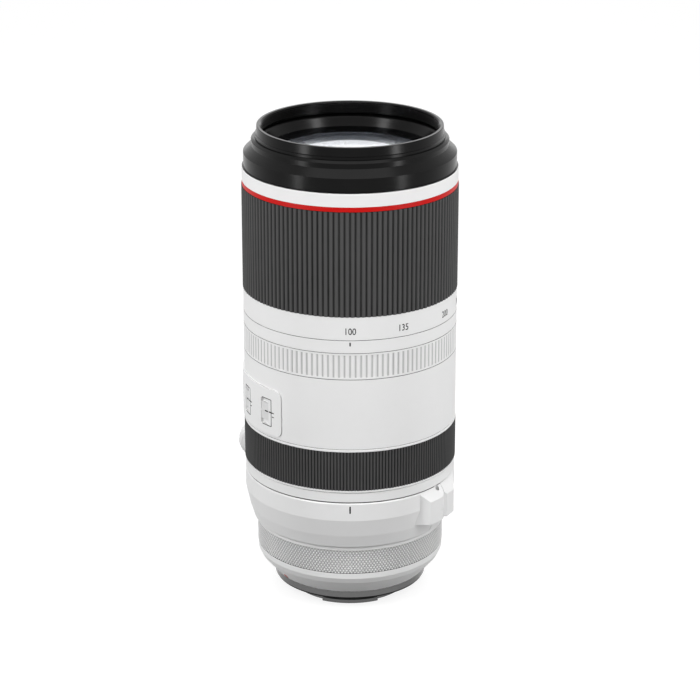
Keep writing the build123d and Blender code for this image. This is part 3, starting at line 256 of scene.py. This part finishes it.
# %% Turned: rings that a lathe leaves round the axis
turned, given, result = new_group("turned", {"Spacing": 0.0002}, ("Height", "Streak"))
across, level = axis_place(turned)
along = put(turned, "ShaderNodeCombineXYZ", {0: across, 1: 0.0, 2: level}).outputs[0]
rate = calculate(turned, "DIVIDE", 1.0, given["Spacing"])
lines = put(turned, "ShaderNodeTexNoise", {"Vector": along, "Scale": rate, "Detail": 1.0})
broad_rate = calculate(turned, "MULTIPLY", rate, 0.2)
broad = put(turned, "ShaderNodeTexNoise", {"Vector": along, "Scale": broad_rate})
turned.links.new(lines.outputs["Fac"], result["Height"])
turned.links.new(broad.outputs["Fac"], result["Streak"])

# %% Dust: a thin film, more of it on faces that look up
dust, given, result = new_group("dust", {"Amount": 0.1}, ("Mask",))
normal = put(dust, "ShaderNodeNewGeometry").outputs["Normal"]
facing = put(dust, "ShaderNodeSeparateXYZ", {0: normal}).outputs[2]
upward = calculate(dust, "MULTIPLY_ADD", facing, 0.5, 0.5)
cloud = put(dust, "ShaderNodeTexNoise", {
    "Vector": object_place(dust), "Scale": 160.0, "Detail": 6.0, "Roughness": 0.7,
})
specks = put(dust, "ShaderNodeMapRange", {
    "Value": cloud.outputs["Fac"], "From Min": 0.4, "From Max": 0.75,
})
settled = calculate(dust, "MULTIPLY", specks.outputs[0], upward)
dust.links.new(calculate(dust, "MULTIPLY", settled, given["Amount"], clamp=True), result["Mask"])

# %% Relief: 0 at the foot of a rib and 1 on its crest
relief, given, result = new_group("relief", {"Foot": 0.046, "Crest": 0.047}, ("Rise",))
across, level = axis_place(relief)
rise = put(relief, "ShaderNodeMapRange", {
    "Value": across, "From Min": given["Foot"], "From Max": given["Crest"],
})
relief.links.new(rise.outputs[0], result["Rise"])

# %% Gap shade: 1 where a ring gets painted shade, inside its skin and along its two ends
gap_shade_blur = 0.03 * mm
gap_shade, given, result = new_group("gap_shade", {"Skin": 0.046, "Low": 0.0, "High": 0.2}, ("Mask",))
across, level = axis_place(gap_shade)


def past(first, second):
    """1 where the first value is larger, with a short ramp."""
    excess = calculate(gap_shade, "SUBTRACT", first, second)
    return calculate(gap_shade, "DIVIDE", excess, gap_shade_blur, clamp=True)


ends = calculate(gap_shade, "MAXIMUM", past(given["Low"], level), past(level, given["High"]))
gap_shade.links.new(calculate(gap_shade, "MAXIMUM", ends, past(given["Skin"], across)), result["Mask"])

# %% Wear: edges that catch hands and cases
wear, given, result = new_group("wear", {"Start": 0.52, "End": 0.6, "Amount": 0.5}, ("Mask",))
edge = put(wear, "ShaderNodeNewGeometry").outputs["Pointiness"]
rub = put(wear, "ShaderNodeTexNoise", {"Vector": object_place(wear), "Scale": 220.0, "Detail": 4.0})
edges = put(wear, "ShaderNodeMapRange", {
    "Value": edge, "From Min": given["Start"], "From Max": given["End"],
})
rubbed = calculate(wear, "MULTIPLY", edges.outputs[0], rub.outputs["Fac"])
wear.links.new(calculate(wear, "MULTIPLY", rubbed, given["Amount"]), result["Mask"])
print("groups:", [g.name for g in bpy.data.node_groups])

# %% [markdown]
# ## Materials
#
# Each finish is a function that returns one material. They all start from the same steps: a base
# colour that varies a little, a roughness that varies with it, and a bump from the grain or the
# lathe marks. Constants stay on the Principled shader's own sockets.

# %% Material helpers
def new_material(name):
    """A material with an empty tree."""
    material = bpy.data.materials.new(name)
    material.use_nodes = True
    material.node_tree.nodes.clear()
    return material, material.node_tree


def use_group(tree, group, **values):
    """Places a shared group with its own values."""
    node = put(tree, "ShaderNodeGroup", node_tree=group)
    for key, value in values.items():
        node.inputs[key.capitalize()].default_value = value
    return node.outputs


def blended(tree, factor, first, second):
    """A colour between two, by a factor."""
    node = put(tree, "ShaderNodeMix", data_type="RGBA")
    sockets = (node.inputs[0], node.inputs[6], node.inputs[7])
    for socket, value in zip(sockets, (factor, first, second)):
        if isinstance(value, bpy.types.NodeSocket):
            tree.links.new(value, socket)
        else:
            socket.default_value = value
    return node.outputs[2]


def bumped(tree, height, distance):
    """A normal from a height; the distance is the real depth of the relief."""
    return put(tree, "ShaderNodeBump", {"Height": height, "Distance": distance}).outputs[0]


def surface(tree, sockets):
    """The Principled shader and the output."""
    shader = put(tree, "ShaderNodeBsdfPrincipled", sockets)
    put(tree, "ShaderNodeOutputMaterial", {"Surface": shader.outputs[0]})


def grey(tone):
    """A neutral colour."""
    return (tone, tone, tone, 1)


# %% [markdown]
# ### Paint
#
# The white barrel is sprayed with a heat-reflecting satin paint. It has a very fine orange peel, and
# a tone that drifts by a few percent. A ring's material knows the ring's two ends and its skin, and
# puts painted shade there, dark as the gap beside the ring. The front ring's black paint is darker
# and glossier, and its edges are a little worn.

# %% Paint
# painted shade: the dark of a ring's ends and of the inside of its skin, for the gap beside it
painted_gap_shade = grey(0.012)
paint_grain, paint_peel = 0.45 * mm, 0.012 * mm
pale_dust = (0.5, 0.48, 0.45, 1)


def paint(
    name, colour, deep_colour, roughness, gloss=0.4, film=0.06, worn_colour=None,
    skin=None, low=-1, high=1, rib=None,
):
    """Paint with an orange peel. A rib gives its foot, its crest and the painted shade at its foot."""
    material, tree = new_material(name)
    grained = use_group(tree, grain, size=paint_grain)
    settled = use_group(tree, dust, amount=film)
    rubbed = use_group(tree, wear, start=0.53, end=0.66, amount=0.3)
    tone = blended(tree, grained["Tone"], colour, deep_colour)
    dusty = blended(tree, settled["Mask"], tone, pale_dust)
    coat = blended(tree, rubbed["Mask"], dusty, worn_colour or colour)
    # a rib's foot is painted darker than its crest: painted shade in the grooves
    if rib:
        foot, crest, groove_shade_tone = rib
        risen = use_group(tree, relief, foot=foot, crest=crest)
        coat = blended(tree, risen["Rise"], grey(groove_shade_tone), coat)
    # painted shade at the ring's two ends and inside its skin, for the gap beside it
    if skin:
        gap_shaded = use_group(tree, gap_shade, skin=skin, low=low, high=high)
        coat = blended(tree, gap_shaded["Mask"], coat, painted_gap_shade)
    rough = ranged(tree, grained["Tone"], roughness - 0.05, roughness + 0.07)
    normal = bumped(tree, grained["Height"], paint_peel)
    surface(tree, {
        "Base Color": coat, "Roughness": rough, "Normal": normal, "Specular IOR Level": gloss,
    })
    return material


# %% White, red and black paint
white, deep_white = grey(0.76), grey(0.73)
red, deep_red = (0.5, 0.006, 0.005, 1), (0.46, 0.005, 0.004, 1)
black, deep_black, worn_black = grey(0.0015), grey(0.001), grey(0.006)
satin, black_satin = 0.42, 0.21
# painted shade starts skin_depth under a ring's surface and seam in from each of its ends
skin_depth = 0.45 * mm
seam = 0.04 * mm


def ring_paint(node, radius, low_seam=seam, depth=skin_depth, **rest):
    """White paint with painted shade at the two ends of a ring and inside its skin."""
    low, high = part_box(node)
    return paint(
        node + "_paint", white, deep_white, satin,
        skin=radius - depth, low=low.z + low_seam, high=high.z - seam, **rest,
    )


white_paint = paint("white_paint", white, deep_white, satin)
red_paint = paint("red_paint", red, deep_red, satin, gloss=0.15, film=0.0)
black_paint = paint(
    "black_paint", black, deep_black, black_satin, gloss=0.13, film=0.002, worn_colour=worn_black
)
print("white reflects", white[0])

# %% [markdown]
# ### Rubber
#
# The grips are moulded rubber. It is matte and greyer on the crests, and the grooves are painted
# black as painted shade.

# %% Rubber
rubber_grain, rubber_pores = 0.2 * mm, 0.03 * mm
rubber_dust = (0.16, 0.155, 0.15, 1)
rubbed_tone = 1.4


def rubber(name, groove_shade_tone, crest_tone, foot, crest):
    """Rubber that goes from painted shade at the foot of a rib to its own tone on the crest."""
    material, tree = new_material(name)
    grained = use_group(tree, grain, size=rubber_grain)
    risen = use_group(tree, relief, foot=foot, crest=crest)
    settled = use_group(tree, dust, amount=0.03)
    base = blended(tree, risen["Rise"], grey(groove_shade_tone), grey(crest_tone))
    patches = ranged(tree, grained["Tone"], 0.0, 0.25)
    mottled = blended(tree, patches, base, grey(crest_tone * rubbed_tone))
    dusty = blended(tree, settled["Mask"], mottled, rubber_dust)
    rough = ranged(tree, risen["Rise"], 0.9, 0.7)
    normal = bumped(tree, grained["Height"], rubber_pores)
    surface(tree, {
        "Base Color": dusty, "Roughness": rough, "Normal": normal, "Specular IOR Level": 0.15,
    })
    return material


# %% [markdown]
# ### Metal, plastic, felt and glass
#
# The mount is turned steel with a dull plating: the lathe's rings stretch its highlights round the
# axis. The tubes inside are anodised black. The glass has a coating that tints its reflection blue.

# %% Metal: turned, with streaks round the axis
metal_grain = 0.6 * mm


def metal(name, tone, roughness, spacing, depth, spread=0.15):
    """Turned metal; spacing and depth are those of the lathe marks."""
    material, tree = new_material(name)
    lathe = use_group(tree, turned, spacing=spacing)
    grained = use_group(tree, grain, size=metal_grain)
    streaked = blended(tree, lathe["Streak"], grey(tone), grey(tone * 0.82))
    patches = ranged(tree, grained["Tone"], 0.0, 0.4)
    colour = blended(tree, patches, streaked, grey(tone * 0.9))
    rough = ranged(tree, lathe["Streak"], roughness - spread / 2, roughness + spread / 2)
    normal = bumped(tree, lathe["Height"], depth)
    surface(tree, {"Base Color": colour, "Metallic": 1.0, "Roughness": rough, "Normal": normal})
    return material


# %% Plastic and felt
grey_dust = (0.3, 0.29, 0.28, 1)


def plastic(
    name, colour, deep_colour, roughness, size=0.4 * mm, depth=0.02 * mm, metallic=0.0,
    gloss=0.5, film=0.1,
):
    """Moulded plastic, and with other values felt, gold plate or ink."""
    material, tree = new_material(name)
    grained = use_group(tree, grain, size=size)
    settled = use_group(tree, dust, amount=film)
    tone = blended(tree, grained["Tone"], colour, deep_colour)
    dusty = blended(tree, settled["Mask"], tone, grey_dust)
    rough = ranged(tree, grained["Tone"], roughness - 0.06, roughness + 0.06)
    normal = bumped(tree, grained["Height"], depth)
    surface(tree, {
        "Base Color": dusty, "Roughness": rough, "Normal": normal, "Metallic": metallic,
        "Specular IOR Level": gloss,
    })
    return material


# %% Coated glass
glass_grain = 4 * mm
coating_tint = (0.62, 0.7, 0.95, 1)


def coated_glass(name, tint):
    """Clear glass with a coating and a trace of dust."""
    material, tree = new_material(name)
    grained = use_group(tree, grain, size=glass_grain)
    film = use_group(tree, dust, amount=0.02)
    rough = ranged(tree, film["Mask"], 0.0, 0.3)
    colour = blended(tree, grained["Tone"], tint, (0.99, 0.99, 0.99, 1))
    surface(tree, {
        "Base Color": colour, "Roughness": rough, "IOR": 1.52, "Transmission Weight": 1.0,
        "Specular Tint": coating_tint,
    })
    return material


# %% [markdown]
# ### Which solid gets which finish
#
# Every solid of the frame gets a finish of its own kind, also those inside, which show when the
# collar is open or the barrel is out. The white rings each have their own paint, because each knows
# where its own ends are and puts painted shade there. The painted shade at the foot of the trim ring
# is broader, and so is the one on top of the collar.

# %% Rubber, metal, plastic and glass of this lens
body_radius = 46.8 * mm
rib_crest, zoom_foot, focus_foot = 0.15 * mm, 0.25 * mm, 0.15 * mm
# the first tone is painted shade in the grooves, the second is the rubber of the crests
zoom_rubber = rubber("zoom_rubber", 0.0015, 0.062, body_radius - zoom_foot, body_radius + rib_crest)
focus_rubber = rubber("focus_rubber", 0.0015, 0.068, body_radius - focus_foot, body_radius + rib_crest)
seal_rubber = plastic("seal_rubber", grey(0.003), grey(0.002), 0.6, gloss=0.08, film=0.0)
mount_metal = metal("mount_metal", 0.14, 0.24, 0.25 * mm, 0.004 * mm)
steel = metal("steel", 0.5, 0.32, 0.2 * mm, 0.003 * mm)
inner_metal = metal("inner_metal", 0.03, 0.45, 0.4 * mm, 0.004 * mm)
gold = plastic("contact_gold", (0.8, 0.55, 0.2, 1), (0.72, 0.48, 0.16, 1), 0.28, metallic=1.0)
black_plastic = plastic("black_plastic", grey(0.012), grey(0.009), 0.5)
switch_plastic = plastic("switch_plastic", grey(0.66), grey(0.62), 0.45)
board = plastic("board", (0.02, 0.12, 0.05, 1), (0.015, 0.09, 0.04, 1), 0.5)
felt = plastic("felt", grey(0.02), grey(0.012), 0.95, size=0.2 * mm, depth=0.1 * mm)
glass = coated_glass("optical_glass", (0.93, 0.97, 0.99, 1))
# ink of the numbers and marks, and also the dark of the lines of painted shade on the switch panel
ink_and_painted_shade = plastic(
    "ink_and_painted_shade", grey(0.008), grey(0.006), 0.6, size=0.1 * mm, depth=0.004 * mm, gloss=0.1, film=0.0
)
print("finishes so far:", len(bpy.data.materials))

# %% Paint of the collar and the rings
# painted shade: dark inside collar_skin, and over collar_seam and trim_seam at the ends
collar_skin, collar_seam, trim_seam = 38 * mm, 0.12 * mm, 0.3 * mm
barrel_wall = 1.6 * mm
# the last value is the painted shade at the foot of the tension ring's ribs
tension_rib = (46.5 * mm, 46.65 * mm, 0.34)
collar_paint = paint(
    "collar_paint", white, deep_white, satin,
    skin=collar_skin, high=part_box("collar_index_half")[1].z - collar_seam,
)
finishes = {
    "rear_ring": ring_paint("rear_ring", 34 * mm),
    "rear_barrel": ring_paint("rear_barrel", 41.8 * mm),
    "trim_ring": ring_paint("trim_ring", 46.6 * mm, low_seam=trim_seam),
    "focus_ring": ring_paint("focus_ring", 46.9 * mm),
    "main_barrel": ring_paint("main_barrel", body_radius, depth=barrel_wall),
    "tension_ring": ring_paint("tension_ring", body_radius, rib=tension_rib),
    "collar_index_half": collar_paint, "zoom_grip": zoom_rubber, "focus_grip": focus_rubber,
    "mount_seal": seal_rubber, "bayonet_mount": mount_metal, "contact_pins": gold,
    "dust_seal": felt, "main_board": board,
}
for name in ("index_band", "zoom_ring", "name_ring"):
    finishes[name] = ring_paint(name, body_radius)

# %% The rest of the solids, by finish
by_finish = (
    (white_paint, "control_ring collar_foot_half clamp_knob switch_panel"),
    (red_paint, "mount_index_dot red_ring"),
    (black_paint, "front_ring front_lens_cell front_retainer zoom_group_cell"),
    (steel, "mount_screws hinge_pin tripod_bush clamp_screw zoom_keys barrel_rollers"),
    (steel, "zoom_group_rollers focus_guide_rods focus_motor"),
    (inner_metal, "cam_tube fixed_tube guide_tube extension_barrel iris_blades"),
    (black_plastic, "rear_baffle contact_block iris_housing stabiliser_housing"),
    (black_plastic, "stabiliser_frame stabiliser_holder focus_cell rear_cell"),
    (glass, "front_element second_element zoom_group_lens stabiliser_lens focus_lens rear_element"),
)
for finish, names in by_finish:
    finishes.update({name: finish for name in names.split()})
for name in nodes:
    if name.endswith("switch"):
        finishes[name] = switch_plastic
for name, node in nodes.items():
    node.data.materials.clear()
    node.data.materials.append(finishes[name])
print("finished solids:", len(finishes), "of", len(nodes))

# %% [markdown]
# ## Knurled control ring
#
# The ring next to the mount has a diamond knurl: two sets of slanted grooves, rolled into the metal,
# that leave small four-sided points. A bump map would leave the outline smooth, so the points are
# real geometry. They come from one grid with two columns and two rows to a diamond: every other
# point of the grid is raised, and each cell is split along its groove.

# %% Piece helpers
def add_piece(name, vertices, faces, material, body, smooth=False):
    """A mesh in the frame that rides on a body."""
    mesh = bpy.data.meshes.new(name)
    mesh.from_pydata(vertices, [], faces)
    shape = bmesh.new()
    shape.from_mesh(mesh)
    bmesh.ops.recalc_face_normals(shape, faces=shape.faces)
    shape.to_mesh(mesh)
    shape.free()
    for face in mesh.polygons:
        face.use_smooth = smooth
    mesh.materials.append(material)
    piece = bpy.data.objects.new(name, mesh)
    bpy.context.scene.collection.objects.link(piece)
    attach(piece, body)
    return piece


def on_circle(radius, turn, height):
    """A point round the axis; the turn is in radians, to the right of the index marks."""
    return (radius * sin(turn), -radius * cos(turn), height)


# %% Knurl
diamonds, knurl_rows = 183, 10
knurl_depth, knurl_margin = 0.36 * mm, 0.15 * mm
control_bore, control_radius, control_edge = 39.88 * mm, 41.7 * mm, 0.5 * mm
control_low, control_high = (corner.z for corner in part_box("control_ring"))

columns = 2 * diamonds
knurl_low, knurl_high = control_low + knurl_margin, control_high - knurl_margin
edge_radius = control_radius - control_edge
rows = [[(control_bore, control_low)] * columns, [(edge_radius, control_low)] * columns]
plain_rows = len(rows)
for row in range(knurl_rows + 1):
    height = knurl_low + (knurl_high - knurl_low) * row / knurl_rows
    raised = [(column + row) % 2 for column in range(columns)]
    rows.append([(control_radius - (0 if up else knurl_depth), height) for up in raised])
rows += [[(edge_radius, control_high)] * columns, [(control_bore, control_high)] * columns]
print("knurl rows and columns:", knurl_rows, columns)

# %% Faces of the knurl, and its paint
vertices = [
    on_circle(radius, 2 * pi * column / columns, height)
    for line in rows
    for column, (radius, height) in enumerate(line)
]
faces = []
for row in range(len(rows)):
    above = (row + 1) % len(rows)
    for column in range(columns):
        beside = (column + 1) % columns
        low_left, low_right = row * columns + column, row * columns + beside
        high_left, high_right = above * columns + column, above * columns + beside
        if not plain_rows <= row < plain_rows + knurl_rows:
            faces.append((low_left, low_right, high_right, high_left))
        elif (column + row - plain_rows) % 2:
            faces += [(low_left, low_right, high_left), (low_right, high_right, high_left)]
        else:
            faces += [(low_left, low_right, high_right), (low_left, high_right, high_left)]
# painted shade: darker in the knurl's valleys, and dark at the ring's ends and inside its bore
knurl_skin, knurl_point, knurl_valley_shade = 0.5 * mm, 0.1 * mm, 0.3
knurl_paint = paint(
    "knurl_paint", white, deep_white, 0.4,
    skin=control_bore + knurl_skin, low=control_low + seam, high=control_high - seam,
    rib=(control_radius - knurl_depth, control_radius - knurl_point, knurl_valley_shade),
)
knurl = add_piece("knurled_control_ring", vertices, faces, knurl_paint, "control_ring")
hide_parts("control_ring")
print("knurl points:", diamonds * knurl_rows, "faces:", len(faces))

# %% [markdown]
# ## Printed numbers and marks
#
# The focal lengths stand on the zoom ring's band, and a short line on the fixed band below them
# shows which one is set. They are printed, so each is a skin a few hundredths of a millimetre thick,
# bent round the barrel. A text object gives the outlines of the numbers; its mesh is wrapped round
# the axis and the text object is thrown away.

# %% Bending prints and lines of painted shade round the barrel
print_and_shade_proud, print_and_shade_sunk = 0.02 * mm, 0.03 * mm


def wrapped(name, flat, radius, turn, height, body):
    """Bends a flat mesh round the axis. Its x goes round, y goes up, and z outwards."""
    shape = bmesh.new()
    shape.from_mesh(flat)
    bmesh.ops.recalc_face_normals(shape, faces=shape.faces)
    for vertex in shape.verts:
        x, y, z = vertex.co
        out = radius + (print_and_shade_proud if z > 0 else -print_and_shade_sunk)
        vertex.co = on_circle(out, radians(turn) + x / radius, height + y)
    mesh = bpy.data.meshes.new(name)
    shape.to_mesh(mesh)
    shape.free()
    mesh.materials.append(ink_and_painted_shade)
    piece = bpy.data.objects.new(name, mesh)
    bpy.context.scene.collection.objects.link(piece)
    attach(piece, body)


# %% Flat shapes to print
number_body, number_weight = 0.1, 0.004
wrap_step = radians(1.0)


def flat_number(text, tall, narrow):
    """A flat mesh of a number, centred on its own middle, with a small thickness."""
    curve = bpy.data.curves.new("number", "FONT")
    curve.body = text
    curve.align_x, curve.align_y = "CENTER", "CENTER"
    curve.resolution_u = 4
    curve.extrude = number_body
    curve.offset = number_weight
    holder = bpy.data.objects.new("number", curve)
    bpy.context.scene.collection.objects.link(holder)
    graph = bpy.context.evaluated_depsgraph_get()
    mesh = bpy.data.meshes.new_from_object(holder.evaluated_get(graph))
    bpy.data.objects.remove(holder)
    low = min(v.co.y for v in mesh.vertices)
    size = tall / (max(v.co.y for v in mesh.vertices) - low)
    for vertex in mesh.vertices:
        x, y, z = vertex.co
        vertex.co = (x * size * narrow, (y - low) * size - tall / 2, z)
    return mesh


def flat_bar(wide, tall, corner=0.3):
    """A flat mesh of a bar with clipped corners, cut across so that it can bend."""
    cuts = max(2, ceil(wide / body_radius / wrap_step))
    clip = corner * min(wide, tall)
    columns = [-wide / 2, -wide / 2 + clip]
    steps = [wide * i / cuts for i in range(1, cuts)]
    columns += [step - wide / 2 for step in steps if clip < step < wide - clip]
    columns += [wide / 2 - clip, wide / 2]
    vertices, faces = [], []
    for i, x in enumerate(columns):
        half = tall / 2 - (clip if i in (0, len(columns) - 1) else 0)
        vertices += [(x, -half, -1), (x, half, -1), (x, half, 1), (x, -half, 1)]
    for i in range(len(columns) - 1):
        for j in range(4):
            k = (j + 1) % 4
            faces.append((4 * i + j, 4 * i + k, 4 * i + 4 + k, 4 * i + 4 + j))
    last = 4 * len(columns) - 4
    faces += [(3, 2, 1, 0), (last, last + 1, last + 2, last + 3)]
    mesh = bpy.data.meshes.new("bar")
    mesh.from_pydata(vertices, [], faces)
    return mesh


# %% Numbers on the zoom ring
number_tall, number_narrow, number_height = 2.95 * mm, 0.84, 129.95 * mm
number_turns = {"100": 0, "135": 28.9, "200": 60.8, "300": 84, "400": 101, "500": 115.5}
for text, turn in number_turns.items():
    flat = flat_number(text, number_tall, number_narrow)
    wrapped("number_" + text, flat, body_radius, turn, number_height, "zoom_ring")
print("numbers:", list(number_turns))

# %% Index marks
index_marks = (
    ("zoom_index_mark", 0.6 * mm, 1.7 * mm, 124.2 * mm, "barrel"),
    ("collar_index_mark", 0.65 * mm, 3.4 * mm, 48.1 * mm, "collar"),
)
for name, wide, tall, height, body in index_marks:
    wrapped(name, flat_bar(wide, tall), body_radius, 0, height, body)
print("index marks:", len(index_marks))

# %% [markdown]
# ## Switch marks and painted shade
#
# Each slider runs in a window of the switch panel. A thin dark bracket round the side of the window
# that faces the index marks is painted shade along the window's edges, and a short dark line along
# each slider's ridge, carried on across the panel beside it, is painted shade too. Two plain ticks
# beside the bracket stand for the slider's two positions.

# %% Brackets of painted shade, and ticks
panel_radius = body_radius + 0.65 * mm
window_turns = [-51.3, -72.3, -93.3, -114.3]
switch_bodies = ["focus_mode_switch", "distance_switch", "stabiliser_switch", "stabiliser_mode_switch"]
bracket_low, bracket_high = 81.45 * mm, 93.75 * mm
bracket_side, bracket_end = 5.3, -2.1
line_width = 0.34 * mm
tick_wide, tick_tall, tick_turn = 1.3 * mm, 0.42 * mm, 6.6
position_heights = (87.9 * mm, 86.1 * mm)


def arc_length(first_turn, last_turn):
    """Length of an arc on the panel."""
    return radians(last_turn - first_turn) * panel_radius


def on_panel(name, wide, tall, turn, height):
    """A bar on the switch panel, for the printed ticks and the lines of painted shade."""
    wrapped(name, flat_bar(wide, tall), panel_radius, turn, height, "barrel")


bracket_reach, bracket_rise = arc_length(bracket_end, bracket_side), bracket_high - bracket_low
bracket_middle = (bracket_low + bracket_high) / 2
for i, turn in enumerate(window_turns, 1):
    on_panel(f"bracket_side_{i}", line_width, bracket_rise, turn + bracket_side, bracket_middle)
    middle = turn + (bracket_side + bracket_end) / 2
    for label, height in (("low", bracket_low), ("high", bracket_high)):
        on_panel(f"bracket_{label}_{i}", bracket_reach, line_width, middle, height)
    for j, height in enumerate(position_heights, 1):
        on_panel(f"position_tick_{i}{j}", tick_wide, tick_tall, turn + tick_turn, height)
print("brackets:", len(window_turns))

# %% Lines of painted shade on the sliders and beside them
slider_line, slider_margin = 0.55 * mm, 0.3
slider_start, panel_start, panel_end = 0.3, 3.4, 5.9
near_line, near_crest = 1.2 * mm, 0.4 * mm
line_height = position_heights[0]
for i, (name, turn) in enumerate(zip(switch_bodies, window_turns), 1):
    corners = [vertex.co for vertex in nodes[name].data.vertices]
    crest = max(corner.xy.length for corner in corners if abs(corner.z - line_height) < near_line)
    outer = [corner for corner in corners if corner.xy.length > crest - near_crest]
    slider_end = max(degrees(atan2(corner.x, -corner.y)) for corner in outer) - turn - slider_margin
    line = flat_bar(arc_length(slider_start, slider_end), slider_line)
    wrapped(f"slider_line_{i}", line, crest, turn + (slider_start + slider_end) / 2, line_height, name)
    middle = turn + (panel_start + panel_end) / 2
    on_panel(f"panel_line_{i}", arc_length(panel_start, panel_end), slider_line, middle, line_height)
    print(name, "line ends at", round(slider_end, 2), "degrees; crest", round(crest / mm, 2), "mm")

# %% [markdown]
# ## Front glass
#
# The front element is what the eye goes to. Its solid is cut in flat facets, which show as lines in a
# reflection, so a finer mesh stands for it: two crowned faces and a ground edge between them. A flat
# disc would mirror one even patch. The front face bulges and mirrors the bright background over the
# far rim, and the rear face works as a hollow mirror, which leaves the bright crescent low in the glass.

# %% Outline of the glass
glass_radius = 37.4 * mm
glass_low, glass_high = 189.0 * mm, 195.4 * mm
front_crown, rear_crown = 4.6 * mm, 2.2 * mm
glass_steps, glass_columns = 24, 160


def crown_line(crown, start, direction):
    """Points on a round cap from its edge to near its middle, as (radius, height)."""
    ball = (glass_radius ** 2 + crown ** 2) / (2 * crown)
    line = []
    for step in range(glass_steps):
        radius = glass_radius * (1 - step / glass_steps)
        drop = ball - (ball ** 2 - radius ** 2) ** 0.5
        line.append((radius, start + direction * (crown - drop)))
    return line


top_line = crown_line(front_crown, glass_high, 1)
rear_line = crown_line(rear_crown, glass_low, -1)
outline = rear_line[::-1] + top_line
print("front glass crowns in mm:", round(front_crown / mm, 2), round(rear_crown / mm, 2))

# %% Mesh of the glass
angles = [2 * pi * i / glass_columns for i in range(glass_columns)]
vertices = [on_circle(radius, angle, height) for radius, height in outline for angle in angles]
vertices += [(0, 0, glass_low - rear_crown), (0, 0, glass_high + front_crown)]
faces = []
for line in range(len(outline) - 1):
    for i in range(glass_columns):
        j = (i + 1) % glass_columns
        start, end = line * glass_columns, (line + 1) * glass_columns
        faces.append((start + i, start + j, end + j, end + i))
last = (len(outline) - 1) * glass_columns
for i in range(glass_columns):
    j = (i + 1) % glass_columns
    faces += [(j, i, len(vertices) - 2), (last + i, last + j, len(vertices) - 1)]
front_glass = add_piece(
    "front_glass", vertices, faces, glass, "extension", smooth=True
)
for edge in front_glass.data.edges:
    ends = [front_glass.data.vertices[i].co for i in edge.vertices]
    if all(abs(end.xy.length - glass_radius) < 0.01 * mm for end in ends):
        edge.use_edge_sharp = True
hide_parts("front_element")
print("front glass faces:", len(faces))

# %% [markdown]
# ## Screw threads
#
# The filter thread in the front rim and the thread in the tripod bush are plain bores in the solids.
# A thread is one ridge on a helix, so each is a small triangle that is carried round and up the bore.

# %% Thread helper
ridge_half, ridge_root = 0.42, 0.3
run_out, least_ridge = 4, 0.02


def thread(name, place_of, bore, depth, pitch, start, turns, steps, material, body):
    """A helical ridge inside a bore; place_of turns radius, angle and height into a point."""
    half, root = ridge_half * pitch, bore + ridge_root * depth
    section = [(root, -half), (bore - depth, 0), (root, half)]
    count = round(turns * steps)
    vertices, faces = [], []
    for i in range(count + 1):
        angle = 2 * pi * i / steps
        height = start + pitch * i / steps
        fade = min(1, run_out * min(i, count - i) / steps + least_ridge)
        for radius, rise in section:
            vertices.append(place_of(bore + (radius - bore) * fade, angle, height + rise * fade))
    for i in range(count):
        for j in range(3):
            k = (j + 1) % 3
            faces.append((3 * i + j, 3 * i + k, 3 * i + 3 + k, 3 * i + 3 + j))
    faces += [(2, 1, 0), (3 * count, 3 * count + 1, 3 * count + 2)]
    add_piece(name, vertices, faces, material, body, smooth=True)
    print(name, "turns:", round(turns, 1))


# %% Filter thread
thread_bore, thread_depth, thread_pitch = 38.3 * mm, 0.32 * mm, 0.75 * mm
thread_start, thread_turns, thread_steps = 203.4 * mm, 5.2, 120
thread(
    "filter_thread", on_circle, thread_bore, thread_depth, thread_pitch, thread_start,
    thread_turns, thread_steps, black_paint, "extension",
)

# %% Thread in the tripod bush
bush_height, bush_bore, bush_depth, bush_pitch = 50 * mm, 3.2 * mm, 0.4 * mm, 1.27 * mm
bush_steps = 48


def in_bush(radius, angle, along):
    """A point round the bush's axis, which runs along Y."""
    return (radius * cos(angle), along, bush_height + radius * sin(angle))


bush_low, bush_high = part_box("tripod_bush")
bush_turns = (bush_high.y - bush_low.y) / bush_pitch - 1
thread(
    "bush_thread", in_bush, bush_bore, bush_depth, bush_pitch, bush_low.y + bush_pitch / 2,
    bush_turns, bush_steps, steel, "foot_half",
)
